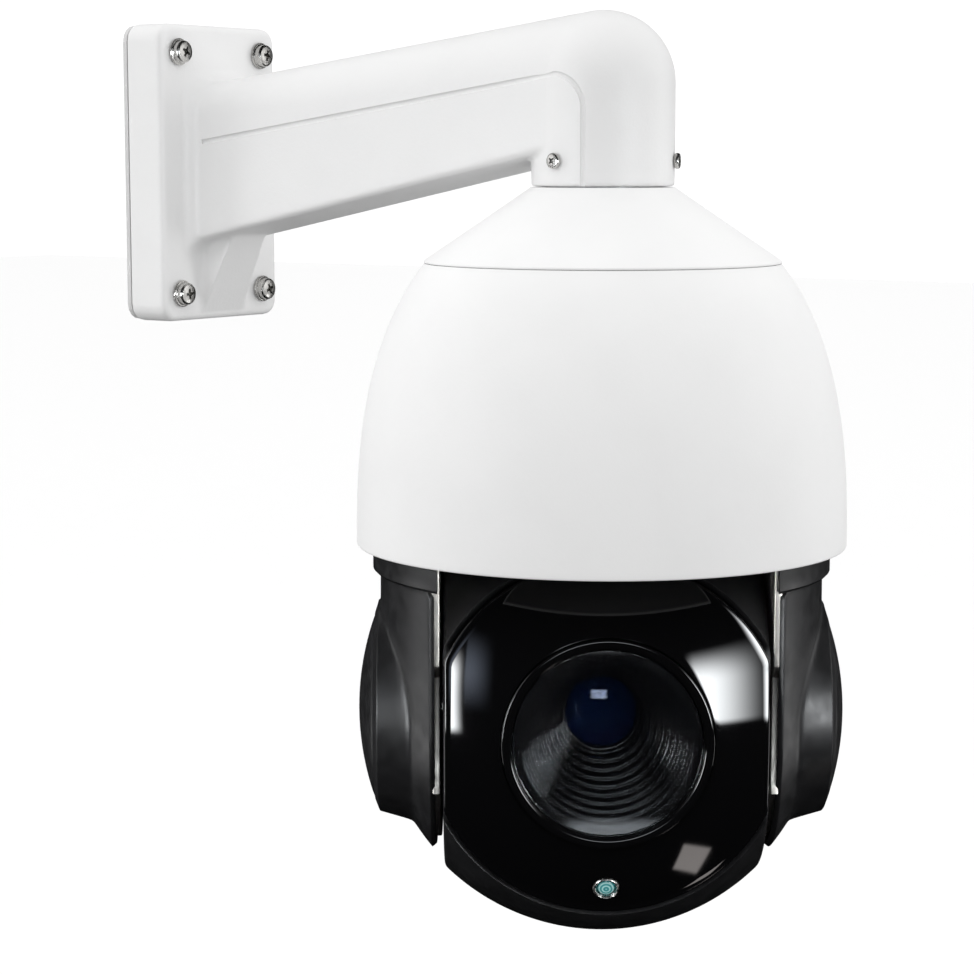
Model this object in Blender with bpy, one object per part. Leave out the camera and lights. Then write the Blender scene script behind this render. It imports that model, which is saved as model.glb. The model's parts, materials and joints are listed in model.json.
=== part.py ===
"""Pan-tilt-zoom dome camera on a cast wall bracket, as an assembly of separate pieces.

Frame: the origin is the centre of the gasket face that lies on the wall, +X points out of
the wall along the arm and +Z is up.  Sizes below are in millimetres; MM turns them into metres.
The yoke hangs from the empty pan_axis and the head from the empty tilt_axis.  In both of
these frames X is the tilt axis and the lens looks along -Y.
"""
import math

import bmesh
import bpy
from mathutils import Matrix, Vector

MM = 0.001
GAP = 0.3                      # between two pieces that touch

# Overall
NECK_X = 222.0                 # wall to pan axis
TILT_Z = -214.5                # height of the tilt axis
PAN_REST = 35.0                # degrees
RIM_Z = -147.0                 # lower rim of the housing
RIM_R = 98.5
SEAM_Z = -35.5                 # seam between housing and top cap
NECK_Z = -4.5                  # lower end of the bracket's neck

# Wall bracket
GASKET_T = 2.0
PLATE_W, PLATE_H, PLATE_T = 76.0, 128.0, 20.0
PLATE_CORNER = 7.0
PLATE_WALL = 4.0
SCREW_Y, SCREW_Z = 27.0, 52.0
SCREW_R = 2.5
WALL_HEAD_R, WALL_HEAD_H = 4.8, 3.6
WALL_WASHER_R, WASHER_T = 5.8, 1.2
HOLE_CLEARANCE = 0.4
CABLE_HOLE_R, CABLE_HOLE_Z = 12.0, 20.0
ARM_ROOT_HALF, ARM_NECK_HALF = 20.0, 27.0
ARM_ROOT_BOTTOM, ARM_ROOT_TOP = -30.0, 38.5
ARM_NECK_BOTTOM, ARM_NECK_TOP = 10.0, 63.8
ARM_CORNER = 13.0
ARM_WALL = 6.0
ARM_FILLET = 5.0
NECK_R, NECK_BORE_R = 28.5, 23.3
NECK_TOP = 64.5
NECK_SCREW_Z, NECK_SHANK_R = 5.5, 1.75
NECK_HEAD_R, NECK_HEAD_H = 3.1, 2.2
NECK_SCREW_ANGLES = (-98.0, 22.0, 82.0)
GROOVE_R = 0.9
GUSSET_REACH, GUSSET_DROP = 18.0, 60.0
GUSSET_HALF_TOP, GUSSET_HALF_BOTTOM = 11.0, 14.0

# Top cap and housing
SHELL_WALL = 3.0
CAP_TOP_R, CAP_SEAM_R = 29.3, 71.2
HOUSING_SHAPE = 2.5            # exponent of the housing's outline
HOUSING_HEIGHT = 141.6         # half axis of that outline above the rim
LEDGE_T = 4.0
LEDGE_W = 7.0
ADAPTOR_WALL = 6.5
ADAPTOR_RISE = 26.0            # above the neck's lower end

# Pan drive
TURNTABLE_Z, TURNTABLE_T, TURNTABLE_R = -120.5, 3.0, 78.0
HUB_R, HUB_BORE_R = 14.0, 10.0
CHASSIS_Z, CHASSIS_T = -92.0, 3.0
PAN_MODULE, PAN_TEETH, PAN_PINION_TEETH = 2.0, 45, 12
TILT_MODULE, TILT_TEETH, TILT_PINION_TEETH = 1.0, 28, 12
GEAR_CLEARANCE = 0.15          # added to each centre distance
BACKLASH = 0.3
PAN_GEAR_T, TILT_GEAR_T = 6.0, 4.0
PAN_MOTOR_W, PAN_MOTOR_H = 35.0, 26.0
PAN_SHAFT_R, TILT_SHAFT_R = 2.5, 1.5
BEARING_RACE = 4.0
BEARING_BALL_GAP = 1.0
SLIP_RING_R, SLIP_RING_H = 12.5, 26.0
POWER_BOARD_Z, BOARD_T = -50.0, 1.6

# Yoke
COLLAR_R, COLLAR_Z, COLLAR_T = 92.0, -157.7, 9.0
COLLAR_WIDTH = 17.0
COLLAR_OPEN = 65.0             # half width of the opening for the head
COVER_R, COVER_IN, COVER_WALL = 91.0, 68.0, 2.5
PLATE_IN, PLATE_OUT = 64.2, 67.2
YOKE_PLATE_HALF = 56.0
EAR_R, EAR_U, EAR_TIP = 43.5, 91.2, 98.5
EAR_CAP_R = 41.0
MOTOR_R, MOTOR_T = 13.7, 12.0

# Head
HEAD_R, HEAD_FLAT, HEAD_WALL = 90.5, 63.0, 2.5
SPLIT_V = 14.0                 # joint plane of the shells, behind the tilt axis
SEAL_T = 1.4
PANEL_R, PANEL_CROWN_R, PANEL_T = 69.4, 130.0, 2.5
PANEL_EDGE_V = 57.8
RING_R, RING_IN = 40.6, 36.6
GLASS_T = 2.5
HOOD_STEPS = 4
HOOD_BACK_V, HOOD_BACK_R = 24.0, 15.5
HOOD_FRONT_R = 32.0
SENSOR_RHO, SENSOR_R, SENSOR_LENS_R = 58.5, 5.2, 3.4
BARREL_R, BARREL_BORE_R = 20.0, 15.3
BARREL_FRONT_V, BARREL_BACK_V = 21.0, -25.0
BLOCK_HALF, BLOCK_FRONT_V, BLOCK_BACK_V = 25.0, -31.0, -68.0
AXLE_R, AXLE_FLANGE_R, SHAFT_R = 8.0, 12.0, 4.0
REAR_SCREWS = ((0, 55), (-42, -42), (42, -42))
REAR_SCREW_R, REAR_WELL_R, REAR_WELL_DEPTH = 1.5, 4.2, 2.2

FINISHES = {
    "cast_white": ((0.86, 0.86, 0.86), 0.0, 0.55),
    "housing_white": ((0.90, 0.90, 0.90), 0.0, 0.5),
    "black_satin": ((0.03, 0.03, 0.033), 0.0, 0.45),
    "black_gloss": ((0.006, 0.006, 0.007), 0.0, 0.06),
    "glass": ((0.75, 0.8, 0.82), 0.0, 0.03),
    "lens_glass": ((0.05, 0.07, 0.12), 0.0, 0.02),
    "sensor_teal": ((0.1, 0.45, 0.45), 0.0, 0.08),
    "steel": ((0.62, 0.62, 0.6), 1.0, 0.32),
    "aluminium": ((0.7, 0.71, 0.72), 1.0, 0.4),
    "brass": ((0.75, 0.58, 0.28), 1.0, 0.35),
    "rubber": ((0.03, 0.03, 0.03), 0.0, 0.8),
    "nylon": ((0.8, 0.79, 0.74), 0.0, 0.5),
    "board_green": ((0.03, 0.2, 0.08), 0.0, 0.45),
}


# ---------------------------------------------------------------- helpers

def clear_scene():
    for old in list(bpy.data.objects):
        bpy.data.objects.remove(old, do_unlink=True)


def finish_material(name, finish):
    colour, metallic, roughness = FINISHES[finish]
    material = bpy.data.materials.new(name)
    material.use_nodes = True
    shader = material.node_tree.nodes["Principled BSDF"]
    shader.inputs["Base Color"].default_value = (*colour, 1.0)
    shader.inputs["Metallic"].default_value = metallic
    shader.inputs["Roughness"].default_value = roughness
    material.diffuse_color = (*colour, 1.0)
    return material


def solid(name, mesh_data, finish=None, parent=None, angle=30.0):
    """Make an object from (points in mm, faces); without a finish it is a hidden cutter."""
    points, faces = mesh_data
    mesh = bpy.data.meshes.new(name)
    mesh.from_pydata([Vector(p) * MM for p in points], [], faces)
    work = bmesh.new()
    work.from_mesh(mesh)
    bmesh.ops.recalc_face_normals(work, faces=work.faces)
    work.to_mesh(mesh)
    work.free()
    mesh.shade_smooth()
    mesh.set_sharp_from_angle(angle=math.radians(angle))
    thing = bpy.data.objects.new(name, mesh)
    bpy.context.scene.collection.objects.link(thing)
    thing.parent = parent
    if finish:
        mesh.materials.append(finish_material(name, finish))
    else:
        thing.hide_render = True
        thing.display_type = "WIRE"
    return thing


def cutter(name, mesh_data, parent=None):
    return solid(name + ".cut", mesh_data, parent=parent)


def boolean(thing, other, operation="DIFFERENCE"):
    step = thing.modifiers.new(operation.lower(), "BOOLEAN")
    step.operation = operation
    step.solver = "EXACT"
    step.object = other


def boolean_all(thing, others, operation="DIFFERENCE"):
    """One exact cut or union with several pieces at once."""
    group = bpy.data.collections.new(thing.name + "_" + operation.lower())
    for other in others:
        group.objects.link(other)
    step = thing.modifiers.new(operation.lower(), "BOOLEAN")
    step.operation = operation
    step.solver = "EXACT"
    step.operand_type = "COLLECTION"
    step.collection = group


def turned(profile, segments=32, axis="Z"):
    """Closed solid turned from a closed outline of (radius, height) points."""
    points = []
    rings = []
    for radius, height in profile:
        if radius < 1e-6:
            rings.append([len(points)])
            points.append((0.0, 0.0, height))
            continue
        rings.append(range(len(points), len(points) + segments))
        for i in range(segments):
            turn = 2 * math.pi * i / segments
            points.append((radius * math.cos(turn), radius * math.sin(turn), height))
    faces = []
    for low, high in zip(rings, rings[1:] + rings[:1]):
        for i in range(segments):
            j = (i + 1) % segments
            face = [low[i % len(low)], low[j % len(low)], high[j % len(high)], high[i % len(high)]]
            face = list(dict.fromkeys(face))
            if len(face) > 2:
                faces.append(face)
    return turn_axis(points, axis), faces


def turn_axis(points, axis):
    """Move the +Z axis of the points to X, or to the viewing direction -Y."""
    if axis == "X":
        return [(z, y, -x) for x, y, z in points]
    if axis == "-Y":
        return [(x, -z, y) for x, y, z in points]
    return points


def tube(outer, inner, low, high):
    return [(inner, low), (outer, low), (outer, high), (inner, high)]


def rod(radius, low, high):
    return [(0.0, low), (radius, low), (radius, high), (0.0, high)]


def prism(outline, low, high):
    """Closed solid between two heights over a plane outline."""
    count = len(outline)
    points = [(x, y, low) for x, y in outline] + [(x, y, high) for x, y in outline]
    faces = [list(range(count)), list(range(count, 2 * count))]
    for i in range(count):
        j = (i + 1) % count
        faces.append([i, j, count + j, count + i])
    return points, faces


def loft(sections):
    """Closed solid through plane sections that have the same number of points."""
    count = len(sections[0])
    points = [p for section in sections for p in section]
    last = count * (len(sections) - 1)
    faces = [list(range(count)), list(range(last, last + count))]
    for k in range(len(sections) - 1):
        for i in range(count):
            j = (i + 1) % count
            faces.append([k * count + i, k * count + j, (k + 1) * count + j, (k + 1) * count + i])
    return points, faces


def box(low, high):
    outline = [(low[0], low[1]), (high[0], low[1]), (high[0], high[1]), (low[0], high[1])]
    return prism(outline, low[2], high[2])


def moved(mesh_data, offset, turn_z=0.0, turn_x=0.0):
    """Turn about Z, then about X (degrees), then shift."""
    spin = Matrix.Rotation(math.radians(turn_x), 4, "X") @ Matrix.Rotation(math.radians(turn_z), 4, "Z")
    points, faces = mesh_data
    return [tuple(spin @ Vector(p) + Vector(offset)) for p in points], faces


def rounded_rectangle(half_w, low, high, radius, steps=4):
    """Outline in the plane, counter-clockwise, from y = -half_w..half_w and low..high."""
    outline = []
    corners = (
        (half_w - radius, high - radius, 0),
        (-half_w + radius, high - radius, 90),
        (-half_w + radius, low + radius, 180),
        (half_w - radius, low + radius, 270),
    )
    for y, z, start in corners:
        for i in range(steps + 1):
            turn = math.radians(start + 90 * i / steps)
            outline.append((y + radius * math.cos(turn), z + radius * math.sin(turn)))
    return outline


def flat_sided_circle(radius, half_width, steps=10):
    """Circle with its left and right sides cut flat."""
    limit = math.acos(half_width / radius)
    outline = []
    for start in (limit, math.pi + limit):
        for i in range(steps + 1):
            turn = start + (math.pi - 2 * limit) * i / steps
            outline.append((radius * math.cos(turn), radius * math.sin(turn)))
    return outline


def ring_prism(outer, inner, low, high, axis="Z"):
    """Closed solid between two outlines with the same number of points."""
    count = len(outer)
    points = []
    for outline, height in ((outer, low), (outer, high), (inner, high), (inner, low)):
        points += [(x, y, height) for x, y in outline]
    faces = []
    for k in range(4):
        for i in range(count):
            j = (i + 1) % count
            n = (k + 1) % 4
            faces.append([k * count + i, k * count + j, n * count + j, n * count + i])
    return turn_axis(points, axis), faces


def gear_outline(teeth, module, phase=0.0):
    """Involute gear with a tooth centred on the phase angle (degrees)."""
    pitch_r = teeth * module / 2
    base_r = pitch_r * math.cos(math.radians(20))
    root_r = pitch_r - 1.25 * module
    tip_r = pitch_r + module
    half_pitch = (math.pi * module / 2 - BACKLASH) / 2 / pitch_r

    def roll(radius):
        lean = math.acos(min(1.0, base_r / radius))
        return math.tan(lean) - lean

    flank = [root_r, tip_r]
    half = [half_pitch + roll(pitch_r) - roll(max(r, base_r)) for r in flank]
    outline = []
    for tooth in range(teeth):
        centre = math.radians(phase) + 2 * math.pi * tooth / teeth
        for radius, turn in zip(flank, half):
            outline.append((radius * math.cos(centre - turn), radius * math.sin(centre - turn)))
        for radius, turn in zip(reversed(flank), reversed(half)):
            outline.append((radius * math.cos(centre + turn), radius * math.sin(centre + turn)))
    return outline


# ---------------------------------------------------------------- wall bracket

PLATE_BACK = GASKET_T + GAP
PLATE_FRONT = GASKET_T + PLATE_T
ARM_END = NECK_X - 7.0


def along_arm(x, root, neck):
    return root + (neck - root) * (x - PLATE_FRONT) / (ARM_END - PLATE_FRONT)


def arm_section(x, grow=0.0, inset=0.0):
    half = along_arm(x, ARM_ROOT_HALF, ARM_NECK_HALF) + grow - inset
    low = along_arm(x, ARM_ROOT_BOTTOM, ARM_NECK_BOTTOM) - grow + inset
    high = along_arm(x, ARM_ROOT_TOP, ARM_NECK_TOP) + grow - inset
    top_r = along_arm(x, ARM_CORNER, ARM_NECK_HALF - 5) - inset
    bottom_r = 3.0
    outline = rounded_rectangle(half, low, high, top_r)
    lower = rounded_rectangle(half, low, high, bottom_r)
    middle = len(outline) // 2
    outline = outline[:middle] + lower[middle:]
    return [(x, y, z) for y, z in outline]


def side_of_bracket(x):
    if x < ARM_END:
        return along_arm(x, ARM_ROOT_HALF, ARM_NECK_HALF)
    return math.sqrt(NECK_R ** 2 - (x - NECK_X) ** 2)


def groove_path(side):
    """Line along the arm's side that turns down the neck."""
    start_x, start_z = PLATE_FRONT + 7, 13.5
    end_x, corner_r = NECK_X + 8, 13.0
    end_z = 39.0
    path = [(start_x, start_z), ((start_x + end_x - corner_r) / 2, (start_z + end_z) / 2)]
    for i in range(6):
        turn = math.radians(90 - 18 * i)
        path.append((end_x - corner_r + corner_r * math.cos(turn),
                     end_z - corner_r + corner_r * math.sin(turn)))
    path.append((end_x, NECK_Z - 3))
    return [(x, side * side_of_bracket(x), z) for x, z in path]


def groove_cutter(side):
    """Square bar along the groove's path, half sunk in the bracket's side."""
    path = [Vector(p) for p in groove_path(side)]
    sections = []
    for i, point in enumerate(path):
        ahead = path[min(i + 1, len(path) - 1)] - path[max(i - 1, 0)]
        across = ahead.normalized().cross(Vector((0, 1, 0))).normalized() * GROOVE_R
        deep = Vector((0, GROOVE_R, 0))
        sections.append([point + across + deep, point - across + deep,
                         point - across - deep, point + across - deep])
    return loft(sections)


def radial(mesh_data, angle, height):
    """Turn a piece made along +X about the neck's axis and lift it."""
    return moved(mesh_data, (NECK_X, 0, height), turn_z=angle)


def make_wall_gasket():
    inset = 0.5
    outline = rounded_rectangle(PLATE_W / 2 - inset, -PLATE_H / 2 + inset, PLATE_H / 2 - inset, PLATE_CORNER)
    gasket = solid("wall_gasket", wall_plane(prism(outline, 0.0, GASKET_T)), "rubber")
    for y in (-SCREW_Y, SCREW_Y):
        for z in (-SCREW_Z, SCREW_Z):
            hole = turned(rod(SCREW_R + HOLE_CLEARANCE, -1, GASKET_T + 1), 14, "X")
            boolean(gasket, cutter("gasket_screw", moved(hole, (0, y, z))))
    hole = turned(rod(CABLE_HOLE_R, -1, GASKET_T + 1), 24, "X")
    boolean(gasket, cutter("gasket_cable", moved(hole, (0, 0, CABLE_HOLE_Z))))


def wall_plane(mesh_data):
    """Take a prism drawn in (y, z) with its height along X."""
    points, faces = mesh_data
    return [(height, y, z) for y, z, height in points], faces


def make_wall_bracket():
    plate = rounded_rectangle(PLATE_W / 2, -PLATE_H / 2, PLATE_H / 2, PLATE_CORNER)
    edge = rounded_rectangle(PLATE_W / 2 - 1.5, -PLATE_H / 2 + 1.5, PLATE_H / 2 - 1.5, PLATE_CORNER - 1.5)
    bracket = solid("wall_bracket", loft([
        [(PLATE_BACK, y, z) for y, z in plate],
        [(PLATE_FRONT - 1.5, y, z) for y, z in plate],
        [(PLATE_FRONT, y, z) for y, z in edge],
    ]), "cast_white")
    root = [(PLATE_FRONT - 3, ARM_FILLET)]
    root += [(PLATE_FRONT + ARM_FILLET * (1 - math.cos(math.radians(t))) + 0.01,
              ARM_FILLET * (1 - math.sin(math.radians(t)))) for t in (20, 50, 90)]
    stations = root + [(x, 0.0) for x in (60.0, 110.0, 160.0, ARM_END)]
    boolean(bracket, cutter("arm", loft([arm_section(x, grow) for x, grow in stations])), "UNION")
    boolean(bracket, cutter("neck", pan_frame_root(turned(neck_profile(), 40))), "UNION")
    boolean(bracket, cutter("gusset", gusset()), "UNION")
    bore = rod(NECK_BORE_R, NECK_Z - 1, NECK_Z + ADAPTOR_RISE + 9)
    notch_half, notch_depth = 3.5, 9.0
    notch = box((PLATE_BACK - 1, -notch_half, -PLATE_H / 2 - 1),
                (PLATE_BACK + notch_depth, notch_half, -PLATE_H / 2 + PLATE_WALL + 1))
    cuts = [cutter("arm_channel", arm_channel()), cutter("neck_bore", pan_frame_root(turned(bore, 40))),
            cutter("plate_pocket", plate_pocket()), cutter("cable_notch", notch)]
    cuts += [cutter("groove", groove_cutter(side)) for side in (-1, 1)]
    for y in (-SCREW_Y, SCREW_Y):
        for z in (-SCREW_Z, SCREW_Z):
            hole = turned(rod(SCREW_R + HOLE_CLEARANCE, 0, PLATE_FRONT + 1), 14, "X")
            cuts.append(cutter("plate_screw", moved(hole, (0, y, z))))
    for angle in NECK_SCREW_ANGLES:
        hole = turned(rod(NECK_SHANK_R + HOLE_CLEARANCE, NECK_BORE_R - 3, NECK_R + 3), 12, "X")
        cuts.append(cutter("neck_screw", radial(hole, angle, NECK_SCREW_Z)))
    boolean_all(bracket, cuts)


def neck_profile():
    """Straight neck closed by a ball-shaped elbow."""
    profile = [(0.0, NECK_Z), (NECK_R - 0.8, NECK_Z), (NECK_R, NECK_Z + 0.8)]
    centre = NECK_TOP - NECK_R
    for i in range(7):
        turn = math.radians(15 * i)
        profile.append((NECK_R * math.cos(turn), centre + NECK_R * math.sin(turn)))
    return [(r if r > 1e-3 else 0.0, z) for r, z in profile]


def arm_channel():
    stations = (PLATE_FRONT - 8, PLATE_FRONT + 30, ARM_END - 40, NECK_X + 6)
    sections = []
    for x in stations:
        half = along_arm(x, ARM_ROOT_HALF, ARM_NECK_HALF) - ARM_WALL
        low = along_arm(x, ARM_ROOT_BOTTOM, ARM_NECK_BOTTOM) + ARM_WALL
        high = along_arm(x, ARM_ROOT_TOP, ARM_NECK_TOP) - ARM_WALL - 4
        sections.append([(x, y, z) for y, z in rounded_rectangle(half, low, high, 9.0, 3)])
    return loft(sections)


def plate_pocket():
    """Hollow in the plate's back that leaves a solid block at each screw."""
    y1, z1 = PLATE_W / 2 - PLATE_WALL, PLATE_H / 2 - PLATE_WALL
    y0, z0 = SCREW_Y - WALL_WASHER_R, SCREW_Z - WALL_WASHER_R
    quarter = [(y1, -z0), (y1, z0), (y0, z0), (y0, z1), (-y0, z1), (-y0, z0)]
    outline = quarter + [(-y, -z) for y, z in quarter]
    return wall_plane(prism(outline, PLATE_BACK - 1, PLATE_FRONT - PLATE_WALL - 1))


def gusset():
    """Wedge under the arm's root."""
    top = ARM_ROOT_BOTTOM + 6
    bottom = ARM_ROOT_BOTTOM - GUSSET_DROP / 2
    x0, x1 = PLATE_FRONT - 3, PLATE_FRONT + GUSSET_REACH
    a, b = GUSSET_HALF_TOP, GUSSET_HALF_BOTTOM
    low = [(x0, -b, bottom), (x0, b, bottom), (PLATE_FRONT + 0.5, b, bottom), (PLATE_FRONT + 0.5, -b, bottom)]
    high = [(x0, -a, top), (x0, a, top), (x1, a, top), (x1, -a, top)]
    return loft([low, high])


def pan_head(radius, height, washer_r=0.0):
    """Outline of a pan head with its underside at zero, crowned on top."""
    profile = []
    base = 0.0
    if washer_r:
        base = WASHER_T
        profile += [(washer_r, 0.0), (washer_r, base)]
    profile += [(radius, base), (radius, base + 0.55 * height),
                (0.82 * radius, base + 0.88 * height), (0.0, base + height)]
    return profile


def screw(name, head_r, head_h, shank_r, length, place, washer_r=0.0):
    """Cross-recessed pan-head screw along +X, its head outwards."""
    profile = [(0.0, -length), (shank_r, -length), (shank_r, 0.0)] + pan_head(head_r, head_h, washer_r)
    thing = solid(name, place(turned(profile, 12, "X")), "steel")
    top = head_h + (WASHER_T if washer_r else 0.0)
    for turn in (0, 90):
        half, width, depth = 0.55 * head_r, 0.11 * head_r, 0.6 * head_h
        slot = box((top - depth, -half, -width), (top + 1, half, width))
        boolean(thing, cutter(name + "_slot", place(moved(slot, (0, 0, 0), turn_x=turn + 45))))
    return thing


def make_wall_screws():
    number = 0
    for z in (SCREW_Z, -SCREW_Z):
        for y in (-SCREW_Y, SCREW_Y):
            number += 1

            def place(data, y=y, z=z):
                return moved(data, (PLATE_FRONT + GAP, y, z))

            screw(f"wall_screw_{number}", WALL_HEAD_R, WALL_HEAD_H, SCREW_R, PLATE_T, place, WALL_WASHER_R)


def make_neck_screws():
    for number, angle in enumerate(NECK_SCREW_ANGLES, 1):
        seat = NECK_R + GAP
        length = NECK_R - NECK_BORE_R + HOLE_CLEARANCE

        def place(data, angle=angle, seat=seat):
            return radial(moved(data, (seat, 0, 0)), angle, NECK_SCREW_Z)

        screw(f"neck_screw_{number}", NECK_HEAD_R, NECK_HEAD_H, NECK_SHANK_R, length, place)


# ---------------------------------------------------------------- cap and housing

def housing_r(z, inset=0.0):
    """Outline of the housing, a superellipse above its rim."""
    rise = max(0.0, z - RIM_Z) / HOUSING_HEIGHT
    return RIM_R * (1 - rise ** HOUSING_SHAPE) ** (1 / HOUSING_SHAPE) - inset


def pan_frame_root(data):
    return moved(data, (NECK_X, 0, 0))


CAP_BASE = SEAM_Z + 0.8
CAP_TOP = NECK_Z - GAP


def cap_inner_r(z):
    slope = (CAP_SEAM_R - CAP_TOP_R) / (CAP_TOP - CAP_BASE)
    return CAP_TOP_R + slope * (CAP_TOP - z) - SHELL_WALL * 1.3


def make_top_cap():
    hole = NECK_BORE_R
    under = CAP_TOP - SHELL_WALL
    profile = [(hole, under), (cap_inner_r(under), under), (cap_inner_r(CAP_BASE), CAP_BASE),
               (CAP_SEAM_R - 0.6, CAP_BASE), (CAP_SEAM_R, CAP_BASE + 0.8), (CAP_TOP_R, CAP_TOP - 0.6),
               (CAP_TOP_R - 0.6, CAP_TOP), (hole, CAP_TOP)]
    solid("top_cap", pan_frame_root(turned(profile, 36)), "housing_white")


def make_cap_gasket():
    outer = cap_inner_r(CAP_BASE) + 2.0
    low, high = SEAM_Z - LEDGE_T + 2.6, CAP_BASE - GAP
    solid("cap_gasket", pan_frame_root(turned(tube(outer, outer - 5, low, high), 32)), "rubber")


def make_housing():
    """Bell with a flange at the seam and a ledge for the chassis plate and for the power board."""
    steps = 7
    outer = []
    lip = 1.2
    top = SEAM_Z - 0.6
    for i in range(steps + 1):
        z = RIM_Z + (top - RIM_Z) * math.sin(math.radians(90 * i / steps))
        outer.append((housing_r(z), z))
    flange_r = cap_inner_r(CAP_BASE) - 5
    flange_z = SEAM_Z - LEDGE_T + 2.3
    inner = [(flange_r, flange_z), (flange_r, flange_z - LEDGE_T)]
    inner += ledge(POWER_BOARD_Z + BOARD_T + GAP, board_r() - 3, skip_top=True)
    inner += ledge(CHASSIS_Z + CHASSIS_T + GAP, chassis_r() - LEDGE_W)
    for z in (-105.0, -125.0, RIM_Z + 6):
        inner.append((housing_r(z, SHELL_WALL), z))
    inner.append((RIM_R - SHELL_WALL, RIM_Z))
    outer[0] = (RIM_R - lip, RIM_Z)
    outer.insert(1, (RIM_R, RIM_Z + lip))
    seam = [(outer[-1][0] - 1.2, flange_z)]
    profile = outer + seam + inner
    solid("housing", pan_frame_root(turned(profile, 40)), "housing_white")


def ledge(z, radius, skip_top=False):
    """Points of an inner ledge whose flat underside is at z, from top to bottom."""
    high = z + LEDGE_T
    points = [(radius, high), (radius, z), (housing_r(z, SHELL_WALL), z)]
    if skip_top:
        return [(housing_r(SEAM_Z - LEDGE_T - 2, SHELL_WALL), SEAM_Z - 2 * LEDGE_T + 2.3)] + [
            (housing_r(high, SHELL_WALL) - 0.5, high)] + points
    return [(housing_r(high, SHELL_WALL), high)] + points


def chassis_r():
    return housing_r(CHASSIS_Z + CHASSIS_T, SHELL_WALL) - 1.0


def board_r():
    return housing_r(POWER_BOARD_Z + BOARD_T, SHELL_WALL) - 1.0


def make_dome_adaptor():
    outer = NECK_BORE_R - GAP - 0.2
    flange_high = CAP_TOP - SHELL_WALL - GAP
    flange_low = flange_high - 3.5
    flange_r = cap_inner_r(flange_high) - 1.5
    inner = outer - ADAPTOR_WALL
    profile = [(inner, flange_low), (flange_r, flange_low), (flange_r, flange_high), (outer, flange_high),
               (outer, NECK_Z + ADAPTOR_RISE), (inner, NECK_Z + ADAPTOR_RISE)]
    solid("dome_adaptor", pan_frame_root(turned(profile, 40)), "aluminium")
    gland_r = inner - GAP
    low = flange_low
    profile = [(5.0, low), (gland_r, low), (gland_r, low + 12), (gland_r - 4, low + 18), (5.0, low + 18)]
    solid("cable_gland", pan_frame_root(turned(profile, 24)), "rubber")


# ---------------------------------------------------------------- fixed inner parts

PAN_CENTRES = (PAN_TEETH + PAN_PINION_TEETH) * PAN_MODULE / 2 + GEAR_CLEARANCE
HUB_FLANGE_TOP = TURNTABLE_Z + TURNTABLE_T + GAP + 4
PAN_GEAR_Z = HUB_FLANGE_TOP + GAP
BEARING_R = HUB_R + GAP
BEARING_LOW, BEARING_HIGH = PAN_GEAR_Z + PAN_GEAR_T + 4, CHASSIS_Z + CHASSIS_T - 1.5
SLEEVE_IN = BEARING_R + 2 * BEARING_RACE + BEARING_BALL_GAP + GAP
HUB_TOP = CHASSIS_Z + CHASSIS_T + 10


def make_chassis_plate():
    low, high = CHASSIS_Z, CHASSIS_Z + CHASSIS_T
    profile = [(SLEEVE_IN, BEARING_LOW), (SLEEVE_IN + 4, BEARING_LOW), (SLEEVE_IN + 4, low),
               (chassis_r(), low), (chassis_r(), high), (HUB_R + 2, high), (HUB_R + 2, high - 1.2),
               (SLEEVE_IN, high - 1.2)]
    plate = solid("chassis_plate", pan_frame_root(turned(profile, 40)), "aluminium")
    hole = moved(turned(rod(PAN_SHAFT_R + 2.0, low - 1, high + 1), 16), (PAN_CENTRES, 0, 0))
    boolean(plate, cutter("chassis_shaft", pan_frame_root(hole)))


def make_pan_drive():
    seat = CHASSIS_Z + CHASSIS_T + GAP
    half = PAN_MOTOR_W / 2
    case = prism(rounded_rectangle(half, -half, half, 4.0, 3), seat, seat + PAN_MOTOR_H)
    motor = solid("pan_motor", pan_frame_root(moved(case, (PAN_CENTRES, 0, 0))), "steel")
    bore = moved(turned(rod(PAN_SHAFT_R + GAP, seat - 1, seat + 10), 16), (PAN_CENTRES, 0, 0))
    boolean(motor, cutter("pan_motor_bore", pan_frame_root(bore)))
    outline = gear_outline(PAN_PINION_TEETH, PAN_MODULE, 180.0)
    pinion = solid("pan_pinion", pan_frame_root(moved(
        prism(outline, PAN_GEAR_Z, PAN_GEAR_Z + PAN_GEAR_T), (PAN_CENTRES, 0, 0))), "brass")
    shaft = moved(turned(rod(PAN_SHAFT_R, PAN_GEAR_Z + 1, seat + 9), 12), (PAN_CENTRES, 0, 0))
    boolean(pinion, cutter("pan_shaft", pan_frame_root(shaft)), "UNION")
    outer = BEARING_R + 2 * BEARING_RACE + BEARING_BALL_GAP
    race = tube(outer, outer - BEARING_RACE, BEARING_LOW, BEARING_HIGH - 1.5)
    solid("pan_bearing_outer", pan_frame_root(turned(race, 28)), "steel")


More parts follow.
